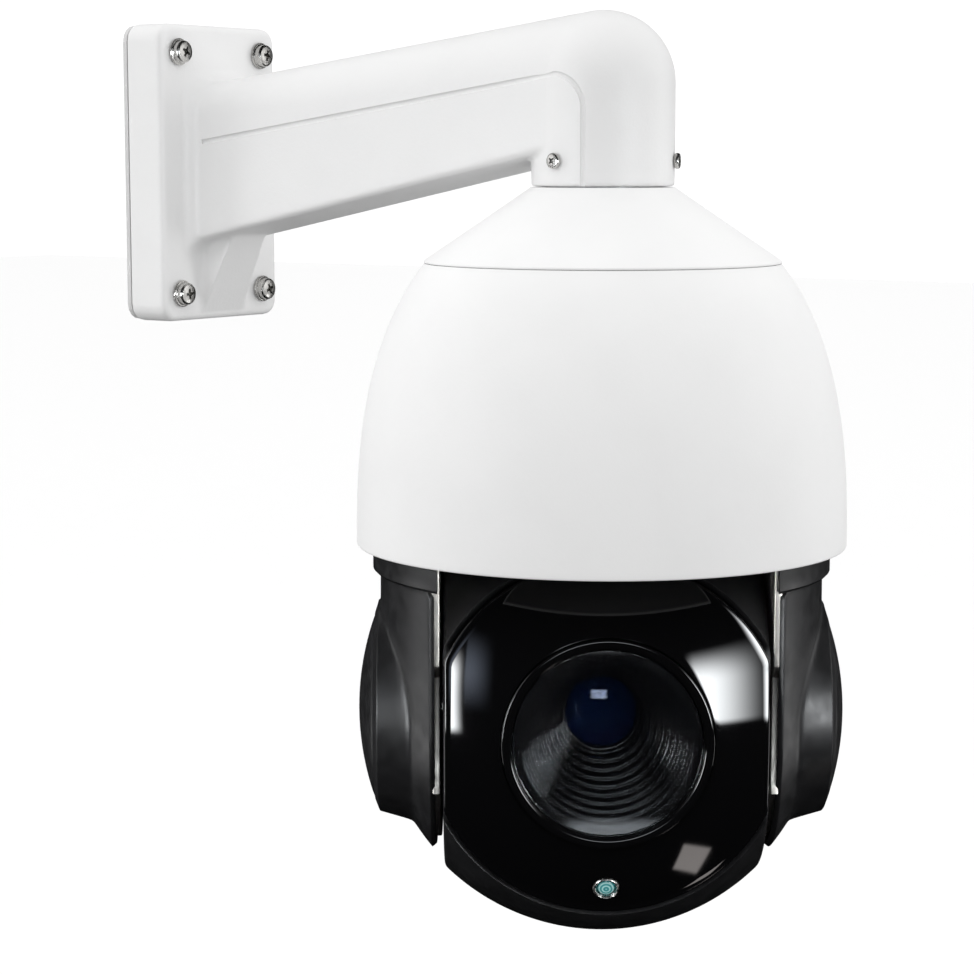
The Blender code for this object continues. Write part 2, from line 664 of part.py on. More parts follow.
def make_slip_ring_stator():
    bridge_z = HUB_TOP + 4
    leg, span, top = 3.0, 36.0, 2.5
    low = CHASSIS_Z + CHASSIS_T + GAP
    outline = [(-span - 8, low), (-span, low), (-span, bridge_z), (span, bridge_z), (span, low),
               (span + 8, low), (span + 8, low + leg), (span + leg, low + leg), (span + leg, bridge_z + top),
               (-span - leg, bridge_z + top), (-span - leg, low + leg), (-span - 8, low + leg)]
    points, faces = prism(outline, -SLIP_RING_R - 2, SLIP_RING_R + 2)
    points = [(height, y, z) for y, z, height in points]
    bracket = solid("slip_ring_bracket", pan_frame_root((points, faces)), "steel")
    hole = rod(SLIP_RING_R - 3 + GAP, bridge_z - 1, bridge_z + top + 1)
    boolean(bracket, cutter("bracket_hole", pan_frame_root(turned(hole, 24))))
    seat = bridge_z + top + GAP
    profile = [(0.0, bridge_z - 2), (SLIP_RING_R - 3, bridge_z - 2), (SLIP_RING_R - 3, seat),
               (SLIP_RING_R, seat), (SLIP_RING_R, seat + SLIP_RING_H - 10), (5.0, seat + SLIP_RING_H - 10),
               (5.0, seat + SLIP_RING_H - 6), (0.0, seat + SLIP_RING_H - 6)]
    solid("slip_ring_stator", pan_frame_root(turned(profile, 24)), "nylon")


def make_power_board():
    low, high = POWER_BOARD_Z, POWER_BOARD_Z + BOARD_T
    board = solid("power_board", pan_frame_root(turned(tube(board_r(), SLIP_RING_R + 4, low, high), 32)),
                  "board_green")
    parts = {
        "board_supply": box((-44, -16, high - 0.3), (-22, 16, high + 9)),
        "board_capacitor": moved(turned(rod(6.0, high - 0.3, high + 11), 14), (28, 20, 0)),
        "board_terminals": box((22, -34, high - 0.3), (34, -12, high + 8)),
    }
    for name, data in parts.items():
        boolean(board, cutter(name, pan_frame_root(data)), "UNION")


# ---------------------------------------------------------------- yoke

def make_turntable(yoke):
    low, high = TURNTABLE_Z, TURNTABLE_Z + TURNTABLE_T
    profile = tube(TURNTABLE_R, HUB_BORE_R, low, high)
    solid("turntable", turned(profile, 36), "aluminium", yoke)
    base = high + GAP
    profile = [(HUB_BORE_R, base), (HUB_R + 10, base), (HUB_R + 10, HUB_FLANGE_TOP), (HUB_R, HUB_FLANGE_TOP),
               (HUB_R, HUB_TOP), (HUB_BORE_R, HUB_TOP)]
    solid("pan_hub", turned(profile, 28), "aluminium", yoke)
    gear = solid("pan_gear", prism(gear_outline(PAN_TEETH, PAN_MODULE, 180.0 / PAN_TEETH - PAN_REST),
                                   PAN_GEAR_Z, PAN_GEAR_Z + PAN_GEAR_T), "nylon", yoke)
    bore = turned(rod(HUB_R + GAP, PAN_GEAR_Z - 1, PAN_GEAR_Z + PAN_GEAR_T + 1), 28)
    boolean(gear, cutter("pan_gear_bore", bore, yoke))
    race = tube(BEARING_R + BEARING_RACE, BEARING_R, BEARING_LOW, BEARING_HIGH - 1.5)
    solid("pan_bearing_inner", turned(race, 28), "steel", yoke)
    rotor = rod(HUB_BORE_R - GAP, HUB_TOP - 22, HUB_TOP + 1)
    solid("slip_ring_rotor", turned(rotor, 24), "nylon", yoke)


def yoke_plate_outline():
    """Side plate in (v, z about the tilt axis): a rounded lower end and a shallow front notch."""
    half, top = YOKE_PLATE_HALF, TURNTABLE_Z - GAP - TILT_Z
    notch, notch_low, notch_high = 5.0, -19.0, 22.0
    outline = [(half, top), (half, notch_high + notch), (half - notch, notch_high),
               (half - notch, notch_low), (half - 3, notch_low - notch)]
    lower = [(half - 3) * math.sin(math.radians(t)) for t in (60, 40, 20, 0)]
    for t, v in zip((60, 40, 20, 0), lower):
        outline.append((v, -(half - 3) * math.cos(math.radians(t))))
    return outline + [(-v, z) for v, z in reversed(outline) if v > 1e-6]


def make_yoke_plates(yoke):
    bearing_hole = AXLE_R + GAP + 4.4 + GAP
    for name, side in (("left", -1), ("right", 1)):
        low, high = sorted((side * PLATE_IN, side * PLATE_OUT))
        points, faces = prism([(-v, z + TILT_Z) for v, z in yoke_plate_outline()], low, high)
        points = [(u, v, z) for v, z, u in points]
        plate = solid(f"yoke_plate_{name}", (points, faces), "steel", yoke)
        hole = moved(turned(rod(bearing_hole, low - 1, high + 1), 24, "X"), (0, 0, TILT_Z))
        boolean(plate, cutter("bearing_hole", hole, yoke))
        race = tube(bearing_hole - GAP, AXLE_R + GAP, low, high)
        solid(f"tilt_bearing_{name}", moved(turned(race, 24, "X"), (0, 0, TILT_Z)), "steel", yoke)


def make_yoke_collar(yoke):
    """Ring under the housing's rim, open at the front for the head."""
    low, high = COLLAR_Z, COLLAR_Z + COLLAR_T
    inner = COLLAR_R - COLLAR_WIDTH
    collar = solid("yoke_collar", turned(
        [(inner, low), (COLLAR_R, low), (COLLAR_R, high), (inner, high)], 40), "black_satin", yoke)
    slot = COLLAR_OPEN
    boolean(collar, cutter("collar_front", box((-slot, -COLLAR_R - 5, low - 1), (slot, 0, high + 1)), yoke))
    half = YOKE_PLATE_HALF + GAP
    for side in (-1, 1):
        near, far = sorted((side * (PLATE_IN - GAP), side * (PLATE_OUT + GAP)))
        boolean(collar, cutter("collar_plate", box((near, -half, low - 1), (far, half, high + 1)), yoke))


def bullet(radius, top, segments=36):
    """Cylinder that ends below in a half ball about the tilt axis."""
    profile = [(0.0, top), (radius, top), (radius, 0.0)]
    for t in range(10, 90, 10):
        profile.append((radius * math.cos(math.radians(t)), -radius * math.sin(math.radians(t))))
    profile.append((0.0, -radius))
    return moved(turned(profile, segments), (0, 0, TILT_Z))


def ear(radius, low, high, side, tip=None):
    profile = rod(radius, low, high)
    if tip:
        profile = [(0.0, low), (radius, low), (radius, high - 6), (tip, high), (0.0, high)]
    points, faces = turned(profile, 28, "X")
    return moved(([(side * u, v, z) for u, v, z in points], faces), (0, 0, TILT_Z))


def make_yoke_covers(yoke):
    top = COLLAR_Z - GAP - TILT_Z
    for name, side in (("left", -1), ("right", 1)):
        cover = solid(f"yoke_cover_{name}", bullet(COVER_R, top), "black_satin", yoke)
        low, high = sorted((side * COVER_IN, side * 200))
        half = cutter("cover_half", box((low, -120, -400), (high, 120, 0)), yoke)
        boolean(cover, half, "INTERSECT")
        boolean(cover, cutter("ear_outer", ear(EAR_R, COVER_IN, EAR_U, side, EAR_CAP_R + 1.5), yoke), "UNION")
        hollow = cutter("cover_hollow", bullet(COVER_R - COVER_WALL, top - COVER_WALL), yoke)
        boolean(cover, hollow)
        boolean(cover, cutter("ear_hollow", ear(EAR_CAP_R - 0.5, COVER_IN - 5, EAR_U + 5, side), yoke))
        crown = [(0.0, EAR_U - 3), (EAR_CAP_R - 1, EAR_U - 3), (EAR_CAP_R - 1, EAR_U + GAP),
                 (EAR_CAP_R + 1, EAR_U + GAP), (EAR_CAP_R + 1, EAR_U + 1)]
        rise = EAR_TIP - EAR_U - 1
        for t in (30, 62):
            crown.append(((EAR_CAP_R + 1) * math.cos(math.radians(t)),
                          EAR_U + 1 + rise * math.sin(math.radians(t))))
        crown.append((0.0, EAR_TIP))
        points, faces = turned(crown, 28, "X")
        points = [(side * u, v, z + TILT_Z) for u, v, z in points]
        solid(f"ear_cap_{name}", (points, faces), "black_satin", yoke)


TILT_CENTRES = (TILT_TEETH + TILT_PINION_TEETH) * TILT_MODULE / 2 + GEAR_CLEARANCE
TILT_GEAR_U = COVER_IN + 0.5
MOTOR_U = TILT_GEAR_U + TILT_GEAR_T + 1.0


def make_tilt_drive(yoke):
    centre = (0, 0, TILT_Z + TILT_CENTRES)
    case = turned(rod(MOTOR_R, MOTOR_U, MOTOR_U + MOTOR_T), 20, "X")
    motor = solid("tilt_motor", moved(case, centre), "steel", yoke)
    for v in (-17.5, 17.5):
        leg = moved(turned(rod(3.0, PLATE_OUT + GAP, MOTOR_U + 3), 12, "X"), (0, v, centre[2]))
        boolean(motor, cutter("motor_leg", leg, yoke), "UNION")
    flange = box((MOTOR_U, -20, centre[2] - 3.5), (MOTOR_U + 2, 20, centre[2] + 3.5))
    boolean(motor, cutter("motor_flange", flange, yoke), "UNION")
    bore = moved(turned(rod(TILT_SHAFT_R + GAP, MOTOR_U - 1, MOTOR_U + 8), 12, "X"), centre)
    boolean(motor, cutter("tilt_motor_bore", bore, yoke))
    points, faces = prism(gear_outline(TILT_PINION_TEETH, TILT_MODULE, -90.0),
                          TILT_GEAR_U, TILT_GEAR_U + TILT_GEAR_T)
    points = [(u, v, z) for v, z, u in points]
    pinion = solid("tilt_pinion", moved((points, faces), centre), "brass", yoke)
    shaft = moved(turned(rod(TILT_SHAFT_R, TILT_GEAR_U + 1, MOTOR_U + 7), 12, "X"), centre)
    boolean(pinion, cutter("tilt_shaft", shaft, yoke), "UNION")


# ---------------------------------------------------------------- head

def head_ball(radius, front, back):
    """Ball turned about the lens axis, cut square at two distances along it."""
    profile = [(0.0, back)]
    steps = 8
    first = math.asin(max(-1.0, back / radius))
    last = math.asin(front / radius)
    for i in range(steps + 1):
        turn = first + (last - first) * i / steps
        if abs(math.cos(turn)) > 1e-4:
            profile.append((radius * math.cos(turn), radius * math.sin(turn)))
    profile.append((0.0, front))
    if back <= -radius:
        profile[0] = (0.0, -radius)
    return turned(profile, 32, "-Y")


def flats(half):
    return box((-half, -200, -200), (half, 200, 200))


def head_shell(name, head, front, back, open_front, open_back):
    shell = solid(name, head_ball(HEAD_R, front, back), "black_satin", head)
    boolean(shell, cutter(name + "_flats", flats(HEAD_FLAT), head), "INTERSECT")
    inner_r = HEAD_R - HEAD_WALL
    inner_front = front + 1 if open_front else min(front, inner_r)
    inner_back = back - 1 if open_back else -inner_r
    hollow = cutter(name + "_hollow", head_ball(inner_r, inner_front, inner_back), head)
    boolean(hollow, cutter(name + "_hollow_flats", flats(HEAD_FLAT - HEAD_WALL), head), "INTERSECT")
    boolean(shell, hollow)
    return shell


def make_head_shells(head):
    front_edge = PANEL_EDGE_V - PANEL_T
    front = head_shell("head_front_shell", head, front_edge, -SPLIT_V + SEAL_T / 2 + GAP, True, True)
    for side in (-1, 1):
        hole = turned(rod(AXLE_R + 0.4, HEAD_FLAT - 6, HEAD_FLAT + 2), 24, "X")
        points = [(side * u, v, z) for u, v, z in hole[0]]
        boolean(front, cutter("axle_hole", (points, hole[1]), head))
    rear = head_shell("head_rear_shell", head, -SPLIT_V - SEAL_T / 2 - GAP, -HEAD_R, True, False)
    for number, (u, z) in enumerate(REAR_SCREWS, 1):
        depth = math.sqrt(HEAD_R ** 2 - u * u - z * z)
        recess = moved(turned(rod(REAR_WELL_R, -depth + REAR_WELL_DEPTH, -depth - 9), 16, "-Y"), (u, 0, z))
        boolean(rear, cutter("rear_recess", recess, head))
        hole = moved(turned(rod(REAR_SCREW_R + HOLE_CLEARANCE, -depth + 9, -depth), 12, "-Y"), (u, 0, z))
        boolean(rear, cutter("rear_hole", hole, head))
        profile = [(0.0, 8.0), (REAR_SCREW_R, 8.0), (REAR_SCREW_R, 0.0), (3.4, 0.0), (3.4, -1.4), (2.6, -2.1),
                   (0.0, -2.2)]
        profile = [(r, -depth + REAR_WELL_DEPTH - GAP + h) for r, h in profile]
        fastener = solid(f"head_screw_{number}", moved(turned(profile, 16, "-Y"), (u, 0, z)), "steel", head)
        slot = box((u - 2, depth - 1.2, z - 0.4), (u + 2, depth + 3, z + 0.4))
        boolean(fastener, cutter("head_screw_slot", slot, head))
    outer = flat_sided_circle(HEAD_R - 0.8, HEAD_FLAT - 0.8)
    inner = flat_sided_circle(HEAD_R - HEAD_WALL, HEAD_FLAT - HEAD_WALL)
    solid("head_seal", ring_prism(outer, inner, -SPLIT_V - SEAL_T / 2, -SPLIT_V + SEAL_T / 2, "-Y"),
          "rubber", head)


def panel_v(rho):
    """Crowned front of the panel at a distance from the lens axis."""
    return PANEL_EDGE_V + (PANEL_R ** 2 - rho ** 2) / (2 * PANEL_CROWN_R)


def sensor_place(data):
    lean = math.degrees(math.atan2(SENSOR_RHO, PANEL_CROWN_R))
    return moved(data, (0, -panel_v(SENSOR_RHO), -SENSOR_RHO), turn_x=lean)


def make_front_panel(head):
    hole = RING_R + GAP
    radii = [hole + (PANEL_R - hole) * i / 3 for i in range(4)]
    front = [(r, panel_v(r)) for r in reversed(radii)]
    back = [(r, panel_v(r) - PANEL_T) for r in radii[:-1]] + [(PANEL_R, PANEL_EDGE_V - PANEL_T + GAP)]
    back[-2] = (back[-2][0], max(back[-2][1], PANEL_EDGE_V - PANEL_T + GAP))
    panel = solid("front_panel", turned(front + back, 36, "-Y"), "black_gloss", head)
    boolean(panel, cutter("panel_flats", flats(HEAD_FLAT - 0.4), head), "INTERSECT")
    hole = sensor_place(turned(rod(SENSOR_R + GAP, -9, 6), 16, "-Y"))
    boolean(panel, cutter("sensor_hole", hole, head))
    edge = panel_v(RING_R)
    profile = [(RING_IN, edge - 7), (RING_R, edge - 7), (RING_R, edge + 1.2), (RING_R - 0.8, edge + 2),
               (RING_IN + 0.8, edge + 2), (RING_IN, edge + 1.2)]
    solid("window_ring", turned(profile, 36, "-Y"), "black_gloss", head)
    glass = rod(RING_IN - GAP, edge - 3, edge - 3 + GLASS_T)
    solid("window_glass", turned(glass, 36, "-Y"), "glass", head)


def make_lens_hood(head):
    """Stepped funnel between the window and the lens."""
    front_v = panel_v(RING_R) - 3 - GAP
    rise = (front_v - HOOD_BACK_V) / HOOD_STEPS
    widen = (HOOD_FRONT_R - HOOD_BACK_R) / (HOOD_STEPS - 1)
    inner = []
    for i in range(HOOD_STEPS):
        radius = HOOD_BACK_R + widen * i
        inner += [(radius, HOOD_BACK_V + rise * i), (radius, HOOD_BACK_V + rise * (i + 1))]
    outer = [(RING_IN - GAP, front_v), (RING_IN - GAP, front_v - 3), (HOOD_BACK_R + 4.5, HOOD_BACK_V)]
    solid("lens_hood", turned(inner + outer, 24, "-Y"), "black_satin", head)


def make_light_sensor(head):
    bezel = turned(tube(SENSOR_R, SENSOR_LENS_R + GAP, -6, 0.8), 16, "-Y")
    solid("light_sensor_bezel", sensor_place(bezel), "steel", head)
    profile = [(0.0, -6.0), (SENSOR_LENS_R, -6.0), (SENSOR_LENS_R, -0.4), (0.7 * SENSOR_LENS_R, 0.3),
               (0.0, 0.6)]
    solid("light_sensor_lens", sensor_place(turned(profile, 16, "-Y")), "sensor_teal", head)


def make_ir_board(head):
    seat, inner, outer = 49.0, 42.0, 56.0
    board = solid("ir_led_board", turned(tube(outer, inner, seat, seat + BOARD_T), 28, "-Y"),
                  "board_green", head)
    for turn in (25, 65, 115, 155, 205, 245, 295, 335):
        u = (inner + outer) / 2 * math.cos(math.radians(turn))
        z = (inner + outer) / 2 * math.sin(math.radians(turn))
        profile = [(0.0, seat + 1), (4.0, seat + 1), (4.0, seat + 4), (2.6, seat + 5.5), (0.0, seat + 6)]
        boolean(board, cutter("led", moved(turned(profile, 6, "-Y"), (u, 0, z)), head), "UNION")


def make_camera_module(head):
    barrel = [(BARREL_BORE_R, BARREL_BACK_V), (BARREL_R, BARREL_BACK_V), (BARREL_R, BARREL_FRONT_V),
              (BARREL_BORE_R, BARREL_FRONT_V)]
    solid("lens_barrel", turned(barrel, 28, "-Y"), "black_satin", head)
    front = [(0.0, 15.0), (BARREL_BORE_R - GAP, 15.0), (BARREL_BORE_R - GAP, 17.5), (10.0, 19.6), (0.0, 20.4)]
    solid("front_lens", turned(front, 28, "-Y"), "lens_glass", head)
    group_r = BARREL_BORE_R - 0.5
    solid("zoom_lens_group", turned(tube(group_r, 0.0, 1.0, 5.0)[1:3] + [(0.0, 6.0), (0.0, 0.0)], 24, "-Y"),
          "lens_glass", head)
    focus = [(0.0, -19.0), (group_r, -18.0), (group_r, -15.0), (0.0, -14.0)]
    solid("focus_lens_group", turned(focus, 24, "-Y"), "lens_glass", head)
    filter_v = (BARREL_BACK_V + BLOCK_FRONT_V) / 2
    solid("ir_cut_filter", box((-14, -filter_v - 0.5, -8), (10, -filter_v + 0.5, 8)), "lens_glass", head)
    block = BLOCK_HALF
    module = solid("camera_block", box((-block, -BLOCK_FRONT_V, -block), (block, -BLOCK_BACK_V, block)),
                   "aluminium", head)
    window = turned(rod(9.0, BLOCK_FRONT_V - 8, BLOCK_FRONT_V + 2), 24, "-Y")
    boolean(module, cutter("block_window", window, head))


def make_module_bracket(head):
    sheet, half, low, high = 2.0, HEAD_FLAT - 9, -BLOCK_HALF - GAP, 14.0
    outline = [(-half, low - sheet), (half, low - sheet), (half, high), (half - sheet, high),
               (half - sheet, low), (-half + sheet, low), (-half + sheet, high), (-half, high)]
    points, faces = prism(outline, -18.0, 58.0)
    solid("module_bracket", ([(u, v, z) for u, z, v in points], faces), "steel", head)


def make_axles(head):
    seat = HEAD_FLAT - 9 + GAP
    wall = HEAD_FLAT - HEAD_WALL - GAP
    profiles = {
        "left": [(SHAFT_R, seat), (AXLE_FLANGE_R, seat), (AXLE_FLANGE_R, wall), (AXLE_R, wall),
                 (AXLE_R, PLATE_OUT + 4), (SHAFT_R, PLATE_OUT + 4)],
        "right": [(0.0, seat), (AXLE_FLANGE_R, seat), (AXLE_FLANGE_R, wall), (AXLE_R, wall),
                  (AXLE_R, PLATE_OUT + 1), (SHAFT_R, PLATE_OUT + 1), (SHAFT_R, MOTOR_U - 0.5),
                  (0.0, MOTOR_U - 0.5)],
    }
    for name, side in (("left", -1), ("right", 1)):
        points, faces = turned(profiles[name], 20, "X")
        solid(f"tilt_axle_{name}", ([(side * u, v, z) for u, v, z in points], faces), "steel", head)
    points, faces = prism(gear_outline(TILT_TEETH, TILT_MODULE, 90.0 + 180.0 / TILT_TEETH),
                          TILT_GEAR_U, TILT_GEAR_U + TILT_GEAR_T)
    gear = solid("tilt_gear", ([(u, v, z) for v, z, u in points], faces), "brass", head)
    bore = turned(rod(SHAFT_R + GAP, TILT_GEAR_U - 1, TILT_GEAR_U + TILT_GEAR_T + 1), 20, "X")
    boolean(gear, cutter("tilt_gear_bore", bore, head))


def empty(name, location, turn_z=0.0, parent=None):
    frame = bpy.data.objects.new(name, None)
    frame.location = Vector(location) * MM
    frame.rotation_euler = (0, 0, math.radians(turn_z))
    frame.parent = parent
    bpy.context.scene.collection.objects.link(frame)
    return frame


def main():
    clear_scene()
    make_wall_gasket()
    make_wall_bracket()
    make_wall_screws()
    make_neck_screws()
    make_dome_adaptor()
    make_top_cap()
    make_cap_gasket()
    make_housing()
    make_chassis_plate()
    make_pan_drive()
    make_slip_ring_stator()
    make_power_board()
    yoke = empty("pan_axis", (NECK_X, 0, 0), PAN_REST)
    make_turntable(yoke)
    make_yoke_plates(yoke)
    make_yoke_collar(yoke)
    make_yoke_covers(yoke)
    make_tilt_drive(yoke)
    head = empty("tilt_axis", (0, 0, TILT_Z), parent=yoke)
    make_head_shells(head)
    make_front_panel(head)
    make_lens_hood(head)
    make_light_sensor(head)
    make_ir_board(head)
    make_camera_module(head)
    make_module_bracket(head)
    make_axles(head)
    bpy.context.view_layer.update()


main()
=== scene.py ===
"""Looks of the pan-tilt-zoom dome camera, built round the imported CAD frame.

Sizes are in millimetres and MM turns them into metres.  Pieces of the yoke and the head are drawn
in a local frame: x is the tilt axis, the lens looks along -y, and YOKE or HEAD puts them in place.
"""
import json
import math

import bmesh
import bpy
from mathutils import Matrix, Vector


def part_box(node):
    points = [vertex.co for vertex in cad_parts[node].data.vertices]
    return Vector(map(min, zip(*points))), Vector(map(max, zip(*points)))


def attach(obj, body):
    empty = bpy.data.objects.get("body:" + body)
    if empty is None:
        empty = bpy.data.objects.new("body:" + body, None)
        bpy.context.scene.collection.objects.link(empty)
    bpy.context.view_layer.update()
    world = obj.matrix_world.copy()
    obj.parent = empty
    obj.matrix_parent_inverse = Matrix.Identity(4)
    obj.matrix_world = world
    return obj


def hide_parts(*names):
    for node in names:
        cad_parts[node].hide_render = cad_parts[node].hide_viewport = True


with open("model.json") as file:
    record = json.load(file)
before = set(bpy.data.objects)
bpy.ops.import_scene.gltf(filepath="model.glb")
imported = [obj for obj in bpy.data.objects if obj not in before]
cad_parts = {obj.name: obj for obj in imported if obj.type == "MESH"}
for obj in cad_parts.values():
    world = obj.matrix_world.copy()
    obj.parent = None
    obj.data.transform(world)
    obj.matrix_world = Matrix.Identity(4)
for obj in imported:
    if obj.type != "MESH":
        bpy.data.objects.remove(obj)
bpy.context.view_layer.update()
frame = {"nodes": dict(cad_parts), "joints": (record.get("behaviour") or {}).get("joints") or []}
for packed in bpy.data.materials:
    packed.name = "packed_" + packed.name
MM = 0.001


def box_mm(node):
    low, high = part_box(node)
    return low / MM, high / MM


def joint(name):
    return next(j for j in frame["joints"] if j["name"] == name)


# Driving sizes from the frame
HOUSING_LOW, HOUSING_HIGH = box_mm("housing")
CAP_LOW, CAP_HIGH = box_mm("top_cap")
_, GASKET_HIGH = box_mm("wall_gasket")
BRACKET_LOW, BRACKET_HIGH = box_mm("wall_bracket")
COLLAR_LOW, COLLAR_HIGH = box_mm("yoke_collar")
DISC_LOW, DISC_HIGH = box_mm("turntable")
TILT_AXIS = Vector(joint("tilt")["axis"])
NECK_X, _, TILT_Z = Vector(joint("tilt")["pos_m"]) / MM
PAN_REST = math.atan2(TILT_AXIS.y, TILT_AXIS.x)
YOKE = Matrix.Translation((NECK_X * MM, 0, 0)) @ Matrix.Rotation(PAN_REST, 4, "Z")
HEAD = Matrix.Translation((0, 0, TILT_Z * MM)) @ YOKE
NECK = Matrix.Translation((NECK_X * MM, 0, 0))
RIM_Z, RIM_R = HOUSING_LOW.z, (HOUSING_HIGH.x - HOUSING_LOW.x) / 2
CAP_BASE, CAP_TOP = CAP_LOW.z, CAP_HIGH.z
CAP_SEAM_R = (CAP_HIGH.x - CAP_LOW.x) / 2

GAP = 0.3

# Wall bracket
GASKET_T = GASKET_HIGH.x
PLATE_W, PLATE_H, PLATE_T = 76.0, 128.0, 20.0
PLATE_BACK, PLATE_FRONT = BRACKET_LOW.x, GASKET_T + PLATE_T
PLATE_CORNER, PLATE_EDGE = 7.0, 2.2
SCREW_Y, SCREW_Z = 27.0, 52.0
SCREW_R, WALL_HEAD_R, WALL_HEAD_H = 2.5, 4.8, 3.6
WALL_WASHER_R, WASHER_T = 5.8, 1.2
SCREW_TURN = 17.0  # degrees from one wall screw's cross to the next
NECK_SHANK_R, NECK_HEAD_R, NECK_HEAD_H, NECK_SHANK_LENGTH = 1.75, 3.1, 2.2, 5.5
ARM_END = NECK_X - 7.0
ARM_ROOT_HALF, ARM_NECK_HALF = 20.0, 27.0
ARM_ROOT_BOTTOM, ARM_ROOT_TOP = -30.0, 38.5
ARM_NECK_BOTTOM, ARM_NECK_TOP = 10.0, 63.8
ARM_CORNER, ARM_FILLET = 13.0, 6.0
NECK_R = BRACKET_HIGH.x - NECK_X
NECK_TOP, NECK_Z = BRACKET_HIGH.z, CAP_TOP + GAP
NECK_BORE_R, NECK_BORE_TOP = 23.3, 30.0
NECK_SCREW_Z, NECK_SCREW_ANGLES = 5.5, (-98.0, 22.0, 82.0)
GROOVE_R, GROOVE_END_Z, GROOVE_CORNER = 1.1, 39.0, 13.0
GUSSET_REACH, GUSSET_DROP = 18.0, 30.0
CABLE_HOLE_R, CABLE_HOLE_Z, CABLE_HOLE_END = 12.0, 20.0, 120.0
GUSSET_HALF_TOP, GUSSET_HALF_BOTTOM = 11.0, 14.0
NOTCH_HALF, NOTCH_DEPTH, NOTCH_HEIGHT = 3.5, 9.0, 5.0
BRACKET_VOXEL, BRACKET_EASING = 1.0, 5

# Top cap and housing
CAP_TOP_R, CAP_WALL, SHELL_WALL = 29.3, 3.6, 3.0
SEAM_GAP, RIM_FOOT, RIM_ROLL = 0.12, 2.2, 2.5
HOUSING_SHAPE, HOUSING_HEIGHT = 2.5, 141.6
FLANGE_INNER_R, FLANGE_T = 62.0, 4.0
HOUSING_INNER_Z = (-48, -56, -64, -72, -80, -89, -98, -107, -116, -125, -141)

# Yoke
DISC_R, DISC_BORE_R = 78.0, 10.0
DISC_HOLES, DISC_HOLE_R, DISC_HOLES_AT = 6, 6.0, 46.0
COLLAR_R, COLLAR_INNER_R, COLLAR_OPEN = 92.0, 75.0, 65.0
COVER_R, COVER_IN, COVER_WALL = 89.0, 68.0, 2.5
PLATE_IN, PLATE_OUT, YOKE_PLATE_HALF = 64.2, 67.2, 56.0
EAR_R, EAR_CAP_R, EAR_TIP = 43.0, 38.0, 98.0
EAR_CROWN_R, EAR_LAND_U = 110.0, 89.5  # sphere that the ear and its cap lie on, seat of the cap
EAR_SEAM, EAR_FALL, EAR_BLEND = 0.35, 3.6, 1.8
BEARING_HOLE_R = 13.0
PLATE_NOTCH, NOTCH_LOW, NOTCH_TOP = 5.0, -19.0, 22.0  # step in a side plate's front edge
PLATE_FOOT_R = YOKE_PLATE_HALF - 3

# Head
HEAD_R, HEAD_FLAT, HEAD_WALL = 90.4, 63.0, 2.5
SHELL_FRONT_V, SHELL_JOINT_V, REAR_JOINT_V = 55.3, -13.0, -15.0
AXLE_HOLE_R = 8.4
REAR_SCREWS = ((0, 55), (-42, -42), (42, -42))
REAR_WELL_R, REAR_WELL_DEPTH = 4.2, 2.2
REAR_HEAD_R, REAR_HEAD_H, REAR_SHANK_R, REAR_SHANK_LENGTH = 3.3, 2.0, 1.5, 7.5
PANEL_R, PANEL_CROWN_R, PANEL_EDGE_V, PANEL_T, PANEL_ROLL = 69.4, 130.0, 57.8, 2.5, 1.3
RING_R, RING_IN, RING_DEPTH, RING_PROUD = 40.6, 36.6, 7.0, 2.0
PANE_BACK, PANE_FRONT = 3.0, 0.5  # how far the glass lies behind the panel
HOOD_STEPS, HOOD_BACK_V, HOOD_BACK_R, HOOD_FRONT_R = 9, 24.0, 14.6, 32.0
SENSOR_RHO, SENSOR_R, SENSOR_LENS_R, SENSOR_DEPTH = 58.5, 5.2, 3.4, 6.0
BARREL_R, BARREL_BORE_R, BARREL_BACK_V, BARREL_FRONT_V = 20.0, 15.3, -25.0, 21.0
LENS_CROWN_R, LENS_TOP_V = 26.0, 18.0
LENS_BACK_V = 15.0  # the zoom group comes to 1 mm behind this at its limit


# -------- shapes

def solid(name, points, faces, place=None, angle=35.0):
    """An object from points in mm, placed in the row frame."""
    mesh = bpy.data.meshes.new(name)
    put = place or Matrix.Identity(4)
    mesh.from_pydata([put @ (Vector(p) * MM) for p in points], [], faces)
    work = bmesh.new()
    work.from_mesh(mesh)
    bmesh.ops.recalc_face_normals(work, faces=work.faces)
    work.to_mesh(mesh)
    work.free()
    thing = bpy.data.objects.new(name, mesh)
    bpy.context.scene.collection.objects.link(thing)
    smooth(thing, angle)
    return thing


def smooth(thing, angle):
    thing.data.shade_smooth()
    thing.data.set_sharp_from_angle(angle=math.radians(angle))


def curve(first, corner, last, t):
    """Point at share t of the curve from first to last that leans towards a corner."""
    return tuple(first * (1 - t) ** 2 + corner * 2 * t * (1 - t) + last * t * t)


def eased(outline, radius, steps=4):
    """Round a closed outline's corners, apart from those on the axis and near-straight ones."""
    result = []
    count = len(outline)
    for i, corner in enumerate(outline):
        here = Vector(corner)
        before = Vector(outline[i - 1]) - here
        after = Vector(outline[(i + 1) % count]) - here
        if here.x < 1e-6 or before.angle(-after) < math.radians(18):
            result.append(tuple(here))
            continue
        reach = min(radius, 0.48 * before.length, 0.48 * after.length)
        first = here + before.normalized() * reach
        last = here + after.normalized() * reach
        result += [curve(first, here, last, k / steps) for k in range(steps + 1)]
    return result


